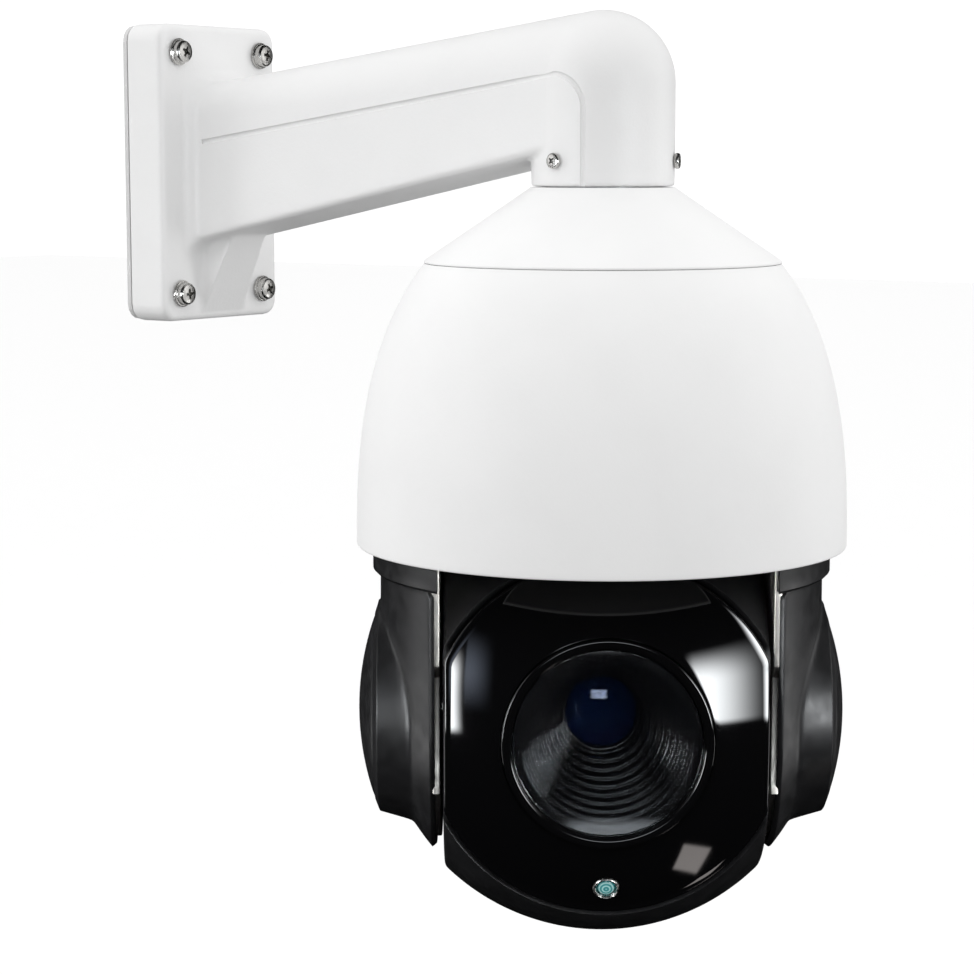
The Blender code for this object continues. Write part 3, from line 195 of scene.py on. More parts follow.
def lathe(profile, segments=128, axis="Z", closed=True):
    """Turn an outline of (radius, height) points about Z, X or the viewing direction -Y."""
    points, faces, rings = [], [], []
    for radius, height in profile:
        if radius < 1e-6:
            rings.append([len(points)])
            points.append((0.0, 0.0, height))
            continue
        rings.append(range(len(points), len(points) + segments))
        for i in range(segments):
            turn = 2 * math.pi * i / segments
            points.append((radius * math.cos(turn), radius * math.sin(turn), height))
    ahead = rings[1:] + (rings[:1] if closed else [])
    for low, high in zip(rings, ahead):
        for i in range(segments):
            j = (i + 1) % segments
            face = [low[i % len(low)], low[j % len(low)], high[j % len(high)], high[i % len(high)]]
            face = list(dict.fromkeys(face))
            if len(face) > 2:
                faces.append(face)
    return turned(points, axis), faces


def peg(radius, low, high, segments, axis="Z"):
    """Plain cylinder, used as the tool for a round hole."""
    return lathe([(0.0, low), (radius, low), (radius, high), (0.0, high)], segments, axis)


def turned(points, axis):
    if axis == "X":
        return [(z, y, -x) for x, y, z in points]
    if axis == "-Y":
        return [(x, -z, y) for x, y, z in points]
    return points


def loft(sections, closed=False):
    """Skin through sections: a closed one runs back to its first, any other gets two end caps."""
    count = len(sections[0])
    points = [p for section in sections for p in section]
    last = count * (len(sections) - 1)
    faces = [] if closed else [list(range(count)), list(range(last, last + count))]
    for k in range(len(sections) if closed else len(sections) - 1):
        n = (k + 1) % len(sections)
        for i in range(count):
            j = (i + 1) % count
            faces.append([k * count + i, k * count + j, n * count + j, n * count + i])
    return points, faces


def block(low, high):
    corners = [(low[0], low[1]), (high[0], low[1]), (high[0], high[1]), (low[0], high[1])]
    return loft([[(x, y, low[2]) for x, y in corners], [(x, y, high[2]) for x, y in corners]])


def moved(data, offset=(0, 0, 0), turn_x=0.0):
    spin = Matrix.Rotation(math.radians(turn_x), 4, "X")
    return [tuple(spin @ Vector(p) + Vector(offset)) for p in data[0]], data[1]


def mirrored(data, side):
    return [(side * x, y, z) for x, y, z in data[0]], data[1]


def rounded_rectangle(half_w, low, high, top_r, bottom_r=None, steps=8):
    bottom_r = top_r if bottom_r is None else bottom_r
    corners = (
        (half_w, high, top_r, 0), (-half_w, high, top_r, 90),
        (-half_w, low, bottom_r, 180), (half_w, low, bottom_r, 270),
    )
    outline = []
    for y, z, radius, start in corners:
        centre_y = y - math.copysign(radius, y)
        centre_z = z - radius if start < 180 else z + radius
        for i in range(steps + 1):
            turn = math.radians(start + 90 * i / steps)
            outline.append((centre_y + radius * math.cos(turn), centre_z + radius * math.sin(turn)))
    return outline


def cut(thing, others, solver="MANIFOLD"):
    """Take solids away from a piece; each is (points, faces, place)."""
    for points, faces, place in others:
        tool = solid(thing.name + "_tool", points, faces, place)
        step = thing.modifiers.new("cut", "BOOLEAN")
        step.operation = "DIFFERENCE"
        step.solver = solver
        step.object = tool
    settle(thing)


def settle(thing, angle=35.0):
    """Apply a piece's modifiers and remove the solids that they used."""
    bpy.context.view_layer.update()
    tools = [m.object for m in thing.modifiers if m.type == "BOOLEAN"]
    shape = thing.evaluated_get(bpy.context.evaluated_depsgraph_get())
    mesh = bpy.data.meshes.new_from_object(shape)
    thing.modifiers.clear()
    thing.data = mesh
    for tool in tools:
        bpy.data.objects.remove(tool, do_unlink=True)
    smooth(thing, angle)


def bevel(thing, width, segments=2, angle=40.0):
    step = thing.modifiers.new("edges", "BEVEL")
    step.width = width * MM
    step.segments = segments
    step.limit_method = "ANGLE"
    step.angle_limit = math.radians(angle)
    step.miter_outer = "MITER_ARC"


def thicken(thing, wall):
    step = thing.modifiers.new("wall", "SOLIDIFY")
    step.thickness = wall * MM
    step.offset = -1
    step.use_even_offset = True


def dress(thing, body, material, *nodes):
    """Give a piece its material and its body, and hide the CAD nodes that it stands for."""
    thing.data.materials.clear()
    thing.data.materials.append(material)
    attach(thing, body)
    if nodes:
        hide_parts(*nodes)


# -------- materials

def add_node(tree, kind, inputs=None, **settings):
    """A shader node; each input takes a value or the output that feeds it."""
    made = tree.nodes.new(kind)
    for key, value in settings.items():
        setattr(made, key, value)
    for key, value in (inputs or {}).items():
        if isinstance(value, bpy.types.NodeSocket):
            tree.links.new(value, made.inputs[key])
        else:
            made.inputs[key].default_value = value
    return made


class Surface:
    """A Principled material and the few node steps that these finishes are made of."""

    def __init__(self, name, colour, metallic=0.0, roughness=0.5):
        self.material = bpy.data.materials.new(name)
        self.material.use_nodes = True
        self.tree = self.material.node_tree
        self.shader = self.tree.nodes["Principled BSDF"]
        self.put("Base Color", (*colour, 1.0))
        self.put("Metallic", metallic)
        self.put("Roughness", roughness)
        self.material.diffuse_color = (*colour, 1.0)

    def put(self, socket, value):
        self.shader.inputs[socket].default_value = value

    def node(self, kind, inputs=None, **settings):
        return add_node(self.tree, kind, inputs, **settings)

    def place(self, stretch=(1, 1, 1), centre=(0, 0, 0)):
        """Object coordinates in mm."""
        where = self.node("ShaderNodeTexCoord").outputs["Object"]
        scale = [s / MM for s in stretch]
        offset = [-c * s for c, s in zip(centre, stretch)]
        inputs = {"Vector": where, "Scale": scale, "Location": offset}
        return self.node("ShaderNodeMapping", inputs).outputs[0]

    def noise(self, size, detail=3.0, stretch=(1, 1, 1)):
        """Noise whose marks are about size mm across."""
        inputs = {"Vector": self.place(stretch), "Scale": 1.0 / size, "Detail": detail}
        return self.node("ShaderNodeTexNoise", inputs).outputs["Fac"]

    def spread(self, value, low, high, start=0.35, end=0.65):
        inputs = {"Value": value, "From Min": start, "From Max": end, "To Min": low, "To Max": high}
        return self.node("ShaderNodeMapRange", inputs).outputs[0]

    def mixed(self, factor, first, second):
        made = self.node("ShaderNodeMix", data_type="RGBA")
        for socket, value in ((made.inputs[0], factor), (made.inputs[6], first), (made.inputs[7], second)):
            if isinstance(value, bpy.types.NodeSocket):
                self.tree.links.new(value, socket)
            else:
                socket.default_value = (*value, 1.0)
        return made.outputs[2]

    def colour_from(self, socket):
        self.tree.links.new(socket, self.shader.inputs["Base Color"])

    def roughness_from(self, socket):
        self.tree.links.new(socket, self.shader.inputs["Roughness"])

    def bump(self, height, depth, below=None):
        inputs = {"Height": height, "Distance": depth * MM, "Strength": 1.0}
        if below:
            inputs["Normal"] = below
        made = self.node("ShaderNodeBump", inputs).outputs[0]
        self.tree.links.new(made, self.shader.inputs["Normal"])
        return made

    def math(self, operation, first, second=0.0):
        return self.node("ShaderNodeMath", {0: first, 1: second}, operation=operation).outputs[0]


def powder_coat(name, colour, grain, depth, roughness, gloss):
    """White coat with an orange-peel surface and the faintest dirt in its colour."""
    paint = Surface(name, colour)
    dirt = paint.spread(paint.noise(35.0, 4.0), 0.0, 1.0, 0.4, 0.75)
    paint.colour_from(paint.mixed(dirt, colour, tuple(c * 0.975 for c in colour)))
    paint.roughness_from(paint.spread(paint.noise(3.0), roughness - 0.05, roughness + 0.06))
    peel = paint.bump(paint.noise(grain * 2.6, 1.0), depth * 1.5)
    paint.bump(paint.noise(grain, 2.0), depth, peel)
    paint.put("Specular IOR Level", gloss)
    return paint.material


def moulded_plastic(name, colour, roughness, grain=0.55, depth=0.012):
    """Spark-eroded plastic with a fine even grain."""
    plastic = Surface(name, colour)
    wear = plastic.spread(plastic.noise(18.0, 5.0), 0.0, 1.0)
    plastic.colour_from(plastic.mixed(wear, colour, tuple(c * 1.35 for c in colour)))
    plastic.roughness_from(plastic.spread(plastic.noise(6.0, 4.0), roughness - 0.05, roughness + 0.06))
    plastic.bump(plastic.noise(grain, 2.0), depth)
    return plastic.material


def baffle_black(name):
    """Smooth black moulding that catches light only on its step noses."""
    baffle = Surface(name, (0.003, 0.003, 0.0035))
    baffle.roughness_from(baffle.spread(baffle.noise(30.0, 2.0), 0.17, 0.23))
    return baffle.material


def piano_black(name):
    """Polished black with faint wiping marks in its gloss."""
    gloss = Surface(name, (0.0035, 0.0035, 0.004))
    smear = gloss.noise(14.0, 5.0, (1.0, 1.0, 0.4))
    gloss.roughness_from(gloss.spread(smear, 0.03, 0.075, 0.3, 0.75))
    dust = gloss.spread(gloss.noise(0.6, 1.0), 0.0, 0.03, 0.72, 0.8)
    gloss.colour_from(gloss.mixed(dust, (0.0035, 0.0035, 0.004), (0.25, 0.25, 0.26)))
    gloss.put("Coat Weight", 0.3)
    gloss.put("Coat Roughness", 0.02)
    return gloss.material


def metal(name, colour, roughness, stretch, grain=0.5):
    """Metal brushed along the direction that the stretch leaves long."""
    face = Surface(name, colour, 1.0, roughness)
    lines = face.noise(grain, 4.0, stretch)
    face.roughness_from(face.spread(lines, roughness - 0.09, roughness + 0.12))
    tarnish = face.spread(face.noise(9.0, 4.0), 0.0, 1.0)
    face.colour_from(face.mixed(tarnish, colour, tuple(c * 0.82 for c in colour)))
    face.bump(lines, 0.006)
    return face.material


def clear_glass(name):
    glass = Surface(name, (0.96, 0.98, 1.0), 0.0, 0.0)
    glass.put("Transmission Weight", 1.0)
    glass.put("IOR", 1.45)
    tint = glass.spread(glass.noise(25.0, 2.0), 0.0, 1.0)
    glass.colour_from(glass.mixed(tint, (0.96, 0.98, 1.0), (0.94, 0.97, 1.0)))
    return glass.material


def coated_lens(name):
    """Dark multicoated glass whose base colour turns from blue to violet as its face turns away from the
    view: a painted reflection tint of the coating.
    """
    lens = Surface(name, (0.01, 0.02, 0.06), 0.0, 0.02)
    # painted reflection: the coating's violet tint, put into the base colour by viewing angle
    facing = lens.node("ShaderNodeLayerWeight", {"Blend": 0.45}).outputs["Facing"]
    edge = lens.spread(facing, 0.0, 1.0, 0.1, 0.8)
    lens.colour_from(lens.mixed(edge, (0.004, 0.012, 0.04), (0.05, 0.012, 0.07)))
    lens.put("Specular IOR Level", 0.9)
    lens.put("Specular Tint", (0.55, 0.65, 1.0, 1.0))
    lens.put("Coat Weight", 0.5)
    lens.put("Coat Roughness", 0.01)
    return lens.material


def sensor_lens(name):
    """Teal cell with moulded rings under a clear dome."""
    cell = Surface(name, (0.1, 0.45, 0.45), 0.0, 0.08)
    centre = HEAD @ (Vector((0, -panel_v(SENSOR_RHO), -SENSOR_RHO)) * MM) / MM
    measure = cell.node("ShaderNodeVectorMath", {0: cell.place(centre=centre)}, operation="LENGTH")
    away = measure.outputs["Value"]
    rings = cell.math("SINE", cell.math("MULTIPLY", away, 5.2))
    shade = cell.spread(rings, 0.0, 1.0, -0.4, 0.8)
    cell.colour_from(cell.mixed(shade, (0.06, 0.36, 0.38), (0.50, 0.86, 0.84)))
    cell.roughness_from(cell.spread(rings, 0.05, 0.16, -1.0, 1.0))
    cell.put("Coat Weight", 1.0)
    cell.put("Coat Roughness", 0.03)
    return cell.material


def circuit_board(name):
    """Green solder mask with copper tracks showing through."""
    board = Surface(name, (0.02, 0.16, 0.06), 0.0, 0.4)
    where = board.place()
    tracks = board.node("ShaderNodeTexVoronoi", {"Vector": where, "Scale": 0.35},
                        feature="DISTANCE_TO_EDGE", distance="MANHATTAN").outputs["Distance"]
    line = board.spread(tracks, 1.0, 0.0, 0.02, 0.06)
    board.colour_from(board.mixed(line, (0.015, 0.13, 0.05), (0.06, 0.3, 0.12)))
    board.roughness_from(board.spread(board.noise(2.0), 0.32, 0.48))
    board.bump(line, 0.03)
    return board.material


def plain_polymer(name, colour, roughness, grain):
    stuff = Surface(name, colour, 0.0, roughness)
    stain = stuff.spread(stuff.noise(8.0, 4.0), 0.0, 1.0)
    stuff.colour_from(stuff.mixed(stain, colour, tuple(c * 0.95 for c in colour)))
    stuff.roughness_from(stuff.spread(stuff.noise(2.5), roughness - 0.06, roughness + 0.06))
    stuff.bump(stuff.noise(grain, 3.0), 0.02)
    return stuff.material


def panel_v(rho):
    """Front of the crowned panel at a distance from the lens axis."""
    return PANEL_EDGE_V + (PANEL_R ** 2 - rho ** 2) / (2 * PANEL_CROWN_R)


CAST = powder_coat("cast_paint", (0.80, 0.80, 0.80), 0.55, 0.03, 0.5, 0.3)
PAINT = powder_coat("housing_paint", (0.84, 0.84, 0.84), 0.35, 0.012, 0.6, 0.1)
BLACK = moulded_plastic("black_cover", (0.010, 0.010, 0.011), 0.36)
GLOSS = piano_black("black_gloss")
GLASS = clear_glass("clear_glass")
LENS = coated_lens("lens_glass")
TEAL = sensor_lens("sensor_lens")
HOOD = baffle_black("hood_black")
EDGE_STEEL = metal("plate_steel", (0.70, 0.67, 0.62), 0.42, (1.0, 1.0, 0.08))
STEEL = metal("steel", (0.62, 0.61, 0.59), 0.26, (1.0, 1.0, 0.08))
ALUMINIUM = metal("aluminium", (0.72, 0.73, 0.74), 0.38, (0.25, 1.0, 1.0), 0.35)
BRASS = metal("brass", (0.75, 0.56, 0.26), 0.3, (1.0, 1.0, 0.2))
RUBBER = plain_polymer("rubber", (0.022, 0.022, 0.022), 0.75, 0.8)
PALE_RUBBER = plain_polymer("pale_rubber", (0.62, 0.62, 0.62), 0.7, 0.8)
NYLON = plain_polymer("nylon", (0.78, 0.76, 0.70), 0.5, 1.2)
BOARD = circuit_board("circuit_board")

CARRIED_OVER = {
    PALE_RUBBER: ("wall_gasket",),
    RUBBER: ("cable_gland", "cap_gasket", "head_seal"),
    ALUMINIUM: ("dome_adaptor", "chassis_plate", "pan_hub", "camera_block"),
    STEEL: ("pan_motor", "pan_bearing_outer", "slip_ring_bracket", "pan_bearing_inner", "tilt_bearing_left",
            "tilt_bearing_right", "tilt_motor", "module_bracket", "tilt_axle_left", "tilt_axle_right"),
    BRASS: ("pan_pinion", "tilt_pinion", "tilt_gear"),
    NYLON: ("slip_ring_stator", "slip_ring_rotor", "pan_gear"),
    BOARD: ("power_board", "ir_led_board"),
    LENS: ("zoom_lens_group", "focus_lens_group", "ir_cut_filter"),
}


def finish_inner_parts():
    """The CAD's own hidden pieces keep their shape and take these finishes."""
    for material, nodes in CARRIED_OVER.items():
        for node in nodes:
            mesh = frame["nodes"][node].data
            mesh.materials.clear()
            mesh.materials.append(material)


# -------- wall bracket

def along_arm(x, root, neck):
    return root + (neck - root) * (x - PLATE_FRONT) / (ARM_END - PLATE_FRONT)


def arm_section(x, grow):
    half = along_arm(x, ARM_ROOT_HALF, ARM_NECK_HALF) + grow
    low = along_arm(x, ARM_ROOT_BOTTOM, ARM_NECK_BOTTOM) - grow
    high = along_arm(x, ARM_ROOT_TOP, ARM_NECK_TOP) + grow
    corner = along_arm(x, ARM_CORNER, ARM_NECK_HALF - 0.5)
    return [(x, y, z) for y, z in rounded_rectangle(half, low, high, corner, 2.5, 12)]


def side_of_bracket(x):
    if x < ARM_END:
        return along_arm(x, ARM_ROOT_HALF, ARM_NECK_HALF)
    return math.sqrt(NECK_R ** 2 - (x - NECK_X) ** 2)


def groove_bar(side):
    """Round bar along the arm's side that turns down the neck, half sunk in the metal."""
    start_x, start_z, end_x = PLATE_FRONT + 7, 13.5, NECK_X + 8
    turn_x, turn_z = end_x - GROOVE_CORNER, GROOVE_END_Z - GROOVE_CORNER
    path = [(start_x + (turn_x - start_x) * t / 10, start_z + (GROOVE_END_Z - start_z) * t / 10)
            for t in range(10)]
    path += [(turn_x + GROOVE_CORNER * math.sin(t * math.pi / 24),
              turn_z + GROOVE_CORNER * math.cos(t * math.pi / 24)) for t in range(13)]
    path += [(end_x, turn_z + (NECK_Z - 3 - turn_z) * t / 4) for t in range(1, 5)]
    line = [Vector((x, side * side_of_bracket(x), z)) for x, z in path]
    sections = []
    for i, point in enumerate(line):
        ahead = (line[min(i + 1, len(line) - 1)] - line[max(i - 1, 0)]).normalized()
        across = ahead.cross(Vector((0, 1, 0))).normalized() * GROOVE_R
        out = Vector((0, GROOVE_R, 0))
        ring = [2 * math.pi * k / 12 for k in range(12)]
        sections.append([point + across * math.cos(a) + out * math.sin(a) for a in ring])
    return loft(sections)


def plate_outline(inset):
    return rounded_rectangle(PLATE_W / 2 - inset, -PLATE_H / 2 + inset, PLATE_H / 2 - inset,
                             PLATE_CORNER - inset)


def neck_profile():
    profile = [(0.0, NECK_Z), (NECK_R - 0.6, NECK_Z), (NECK_R, NECK_Z + 0.6)]
    centre = NECK_TOP - NECK_R
    profile += [(NECK_R * math.cos(math.radians(t)), centre + NECK_R * math.sin(math.radians(t)))
                for t in range(0, 90, 3)]
    return profile + [(0.0, NECK_TOP)]


def gusset():
    top, bottom = ARM_ROOT_BOTTOM + 6, ARM_ROOT_BOTTOM - GUSSET_DROP
    x0, x1 = PLATE_FRONT - 3, PLATE_FRONT + GUSSET_REACH
    a, b = GUSSET_HALF_TOP, GUSSET_HALF_BOTTOM
    low = [(x0, -b, bottom), (x0, b, bottom), (PLATE_FRONT + 0.5, b, bottom), (PLATE_FRONT + 0.5, -b, bottom)]
    return loft([low, [(x0, -a, top), (x0, a, top), (x1, a, top), (x1, -a, top)]])


def make_bracket():
    """One casting: plate, arm, elbow and gusset, skinned together with cast fillets."""
    edge = [(PLATE_BACK, 0.0)]
    edge += [(PLATE_FRONT - PLATE_EDGE * (1 - math.sin(t * math.pi / 12)),
              PLATE_EDGE * (1 - math.cos(t * math.pi / 12))) for t in range(7)]
    plate = loft([[(x, y, z) for y, z in plate_outline(inset)] for x, inset in edge])
    flare = [(PLATE_FRONT - 3, ARM_FILLET)]
    flare += [(PLATE_FRONT + ARM_FILLET * (1 - math.cos(math.radians(t))) + 0.01,
               ARM_FILLET * (1 - math.sin(math.radians(t)))) for t in range(10, 91, 10)]
    straight = ARM_END - PLATE_FRONT - ARM_FILLET
    flare += [(PLATE_FRONT + ARM_FILLET + straight * t / 8, 0.0) for t in range(1, 9)]
    arm = loft([arm_section(x, grow) for x, grow in flare])
    neck = moved(lathe(neck_profile(), 96), (NECK_X, 0, 0))
    points, faces = [], []
    for part in (plate, arm, neck, gusset()):
        faces += [[i + len(points) for i in face] for face in part[1]]
        points += part[0]
    bracket = solid("bracket_casting", points, faces)
    skin = bracket.modifiers.new("skin", "REMESH")
    skin.mode = "VOXEL"
    skin.voxel_size = BRACKET_VOXEL * MM
    ease = bracket.modifiers.new("ease", "SMOOTH")
    ease.factor = 0.5
    ease.iterations = BRACKET_EASING
    settle(bracket)
    bore = moved(peg(NECK_BORE_R, NECK_Z - 2, NECK_BORE_TOP, 64), (NECK_X, 0, 0))
    notch = block((PLATE_BACK - 1, -NOTCH_HALF, -PLATE_H / 2 - 1),
                  (PLATE_BACK + NOTCH_DEPTH, NOTCH_HALF, -PLATE_H / 2 + NOTCH_HEIGHT))
    cable_way = peg(CABLE_HOLE_R, PLATE_BACK - 1, CABLE_HOLE_END, 64, "X")
    tools = [(*bore, None), (*notch, None), (*moved(cable_way, (0, 0, CABLE_HOLE_Z)), None)]
    tools += [(*groove_bar(side), None) for side in (-1, 1)]
    cut(bracket, tools)
    dress(bracket, "base", CAST, "wall_bracket")


def cross_screw(name, place, body, nodes, head_r, head_h, shank_r, length, washer_r=0.0):
    """Pan-head screw along +X with a cross recess; a washer sits under the larger ones."""
    base = WASHER_T if washer_r else 0.0
    profile = [(0.0, -length), (shank_r, -length), (shank_r, 0.0)]
    if washer_r:
        profile += [(washer_r, 0.0), (washer_r, base)]
    profile += [(head_r, base), (head_r, base + 0.66 * head_h), (0.9 * head_r, base + 0.88 * head_h),
                (0.5 * head_r, base + 0.98 * head_h), (0.0, base + head_h)]
    fastener = solid(name, *lathe(eased(profile, 0.28 * min(head_h, 2.4), 3), 64, "X"), place)
    top = base + head_h
    long, wide, deep = 0.52 * head_r, 0.13 * head_r, 0.8 * head_h
    tools = []
    for turn in (45, 135):
        corners = ((-long, -wide), (long, -wide), (long, wide), (-long, wide))
        mouth = [(top + 1, y, z) for y, z in corners]
        floor = [(top - deep, 0.75 * y, 0.85 * z) for _, y, z in mouth]
        tools.append((*moved(loft([mouth, floor]), turn_x=turn), place))
    cone = lathe([(0.0, top - deep), (0.16 * head_r, top - deep), (0.3 * head_r, top + 1),
                  (0.0, top + 1)], 24, "X")
    tools.append((*cone, place))
    cut(fastener, tools, "EXACT")
    dress(fastener, body, STEEL, *nodes)


def make_screws():
    number = 0
    for z in (SCREW_Z, -SCREW_Z):
        for y in (-SCREW_Y, SCREW_Y):
            number += 1
            turn = Matrix.Rotation(math.radians(SCREW_TURN * number), 4, "X")
            place = Matrix.Translation(Vector((PLATE_FRONT + GAP, y, z)) * MM) @ turn
            cross_screw(f"plate_screw_{number}", place, "base", [f"wall_screw_{number}"],
                        WALL_HEAD_R, WALL_HEAD_H, SCREW_R, PLATE_T, WALL_WASHER_R)
    for number, angle in enumerate(NECK_SCREW_ANGLES, 1):
        level = NECK @ Matrix.Translation((0, 0, NECK_SCREW_Z * MM))
        place = level @ Matrix.Rotation(math.radians(angle), 4, "Z")
        place = place @ Matrix.Translation(((NECK_R + GAP) * MM, 0, 0))
        cross_screw(f"collar_screw_{number}", place, "base", [f"neck_screw_{number}"],
                    NECK_HEAD_R, NECK_HEAD_H, NECK_SHANK_R, NECK_SHANK_LENGTH)


# -------- cap and housing

def housing_r(z, inset=0.0):
    rise = max(0.0, z - RIM_Z) / HOUSING_HEIGHT
    return RIM_R * (1 - rise ** HOUSING_SHAPE) ** (1 / HOUSING_SHAPE) - inset


def cap_r(z):
    return CAP_TOP_R + (CAP_SEAM_R - CAP_TOP_R) * (CAP_TOP - z) / (CAP_TOP - CAP_BASE)


def make_cap():
    ceiling = CAP_TOP - SHELL_WALL
    profile = [(NECK_BORE_R, ceiling), (cap_r(ceiling) - CAP_WALL, ceiling),
               (cap_r(CAP_BASE) - CAP_WALL, CAP_BASE), (CAP_SEAM_R, CAP_BASE), (CAP_SEAM_R, CAP_BASE + 0.9),
               (CAP_TOP_R, CAP_TOP - 0.5), (CAP_TOP_R - 0.5, CAP_TOP), (NECK_BORE_R, CAP_TOP)]
    cap = solid("conical_cap", *lathe(eased(profile, 0.5, 3), 192), NECK, 60)
    dress(cap, "base", PAINT, "top_cap")


def make_housing():
    """Bell-shaped shell with a rolled rim and a flange for the cap."""
    steps = 56
    top = CAP_BASE - SEAM_GAP
    levels = [RIM_Z + (top - RIM_Z) * math.sin(math.radians(90 * i / steps)) for i in range(1, steps + 1)]
    outer = [(RIM_R - RIM_FOOT, RIM_Z), (RIM_R, RIM_Z)]
    outer += [(housing_r(z), z) for z in levels if z > RIM_Z + RIM_ROLL]
    inner = [(outer[-1][0] - 1.2, HOUSING_HIGH.z), (FLANGE_INNER_R, HOUSING_HIGH.z),
             (FLANGE_INNER_R, HOUSING_HIGH.z - FLANGE_T)]
    inner += [(housing_r(z, SHELL_WALL), z) for z in HOUSING_INNER_Z]
    inner += [(RIM_R - SHELL_WALL, RIM_Z + 1.5), (RIM_R - SHELL_WALL, RIM_Z)]
    shell = solid("bell_housing", *lathe(eased(outer + inner, 0.9, 5), 224), NECK, 50)
    dress(shell, "base", PAINT, "housing")


# -------- yoke

def make_turntable():
    """Pressed disc with lightening holes."""
    low, high = DISC_LOW.z, DISC_HIGH.z
    profile = eased([(DISC_BORE_R, low), (DISC_R, low), (DISC_R, high), (DISC_BORE_R, high)], 0.8)
    disc = solid("turntable_disc", *lathe(profile, 160), YOKE)
    hole = peg(DISC_HOLE_R, low - 1, high + 1, 40)
    tools = []
    for k in range(DISC_HOLES):
        turn = math.radians(30 + 60 * k)
        offset = (DISC_HOLES_AT * math.cos(turn), DISC_HOLES_AT * math.sin(turn), 0)
        tools.append((*moved(hole, offset), YOKE))
    cut(disc, tools, "EXACT")
    bevel(disc, 0.4)
    settle(disc)
    dress(disc, "yoke", ALUMINIUM, "turntable")


def make_collar():
    """Black ring under the housing's rim, open at the front for the head."""
    low, high = COLLAR_LOW.z, COLLAR_HIGH.z
    profile = [(COLLAR_INNER_R, low), (COLLAR_R - 1.2, low), (COLLAR_R, low + 1.2), (COLLAR_R, high),
               (COLLAR_INNER_R, high)]
    collar = solid("rim_collar", *lathe(profile, 200), YOKE)
    tools = [(*block((-COLLAR_OPEN, -COLLAR_R - 5, low - 1), (COLLAR_OPEN, 0, high + 1)), YOKE)]
    half = YOKE_PLATE_HALF + GAP
    for side in (-1, 1):
        near, far = sorted((side * (PLATE_IN - GAP), side * (PLATE_OUT + GAP)))
        tools.append((*block((near, -half, low - 1), (far, half, high + 1)), YOKE))
    cut(collar, tools, "EXACT")
    bevel(collar, 0.7, 3)
    settle(collar)
    dress(collar, "yoke", BLACK, "yoke_collar")


def crown_u(away):
    """Sphere that an ear and its cap lie on, at a distance from the tilt axis."""
    return EAR_TIP - EAR_CROWN_R + math.sqrt(EAR_CROWN_R ** 2 - away ** 2)


def cover_u(v, z):
    """Outer face of a side cover: a bullet and a domed ear, blended like a moulding."""
    below = min(z, 0.0)
    shell = math.sqrt(max(0.0, COVER_R ** 2 - v * v - below * below))
    away = math.hypot(v, z)
    if away < EAR_CAP_R + EAR_SEAM:
        return EAR_LAND_U
    boss = crown_u(min(away, EAR_R)) - EAR_FALL * max(0.0, away - EAR_R)
    return 0.5 * (shell + boss + math.sqrt((shell - boss) ** 2 + EAR_BLEND ** 2))


def make_covers():
    top = COLLAR_LOW.z - GAP - TILT_Z
    reach = math.sqrt(COVER_R ** 2 - COVER_IN ** 2)
    inner = [EAR_CAP_R * share for share in (0.1, 0.4, 0.7, 0.9, 1.0)]
    inner += [EAR_CAP_R + step for step in (0.3, 0.36, 0.6, 1.0)]
    inner += [EAR_CAP_R + 1 + (EAR_R - EAR_CAP_R - 1) * i / 7 for i in range(1, 8)]
    inner += [EAR_R + 7 * (i / 14) ** 1.4 for i in range(1, 15)]
    outer_steps = 12
    segments = 216
    for name, side in (("left", -1), ("right", 1)):
        points = [(side * EAR_LAND_U, 0.0, 0.0)]
        rings = []
        for k in range(len(inner) + outer_steps):
            ring = []
            for i in range(segments):
                turn = 2 * math.pi * i / segments
                c, s = math.cos(turn), math.sin(turn)
                edge = reach
                if s > 0:
                    edge = min(reach / max(abs(c), 1e-6), (top - 0.01) / s)
                r = inner[k] if k < len(inner) else inner[-1] + (edge - inner[-1]) * (
                    (k - len(inner) + 1) / outer_steps)
                v, z = r * c, r * s
                ring.append(len(points))
                points.append((side * max(cover_u(v, z), COVER_IN), -v, z))
            rings.append(ring)
        faces = [[0, rings[0][i], rings[0][(i + 1) % segments]] for i in range(segments)]
        for low, high in zip(rings, rings[1:]):
            for i in range(segments):
                j = (i + 1) % segments
                faces.append([low[i], low[j], high[j], high[i]])
        cover = solid(f"side_cover_{name}", points, faces, HEAD, 60)
        aim_outward(cover, side)
        thicken(cover, COVER_WALL)
        settle(cover, 50)
        bevel(cover, 0.35, 2, 50)
        settle(cover, 50)
        dress(cover, "yoke", BLACK, f"yoke_cover_{name}")


def aim_outward(thing, side):
    """Turn an open sheet's normals away from the head."""
    out = side * TILT_AXIS
    total = sum((p.normal * p.area for p in thing.data.polygons), Vector())
    if total.dot(out) < 0:
        thing.data.flip_normals()


def make_ear_caps():
    """Shallow domed discs that close the ears."""
    base = EAR_LAND_U + GAP
    dome = [(EAR_CAP_R * (1 - i / 14), crown_u(EAR_CAP_R * (1 - i / 14))) for i in range(1, 14)]
    profile = [(0.0, base), (EAR_CAP_R, base), (EAR_CAP_R, crown_u(EAR_CAP_R) - 0.5),
               (EAR_CAP_R - 0.4, crown_u(EAR_CAP_R))] + dome + [(0.0, EAR_TIP)]
    for name, side in (("left", -1), ("right", 1)):
        cap = solid(f"ear_disc_{name}", *mirrored(lathe(profile, 160, "X"), side), HEAD, 50)
        dress(cap, "yoke", BLACK, f"ear_cap_{name}")


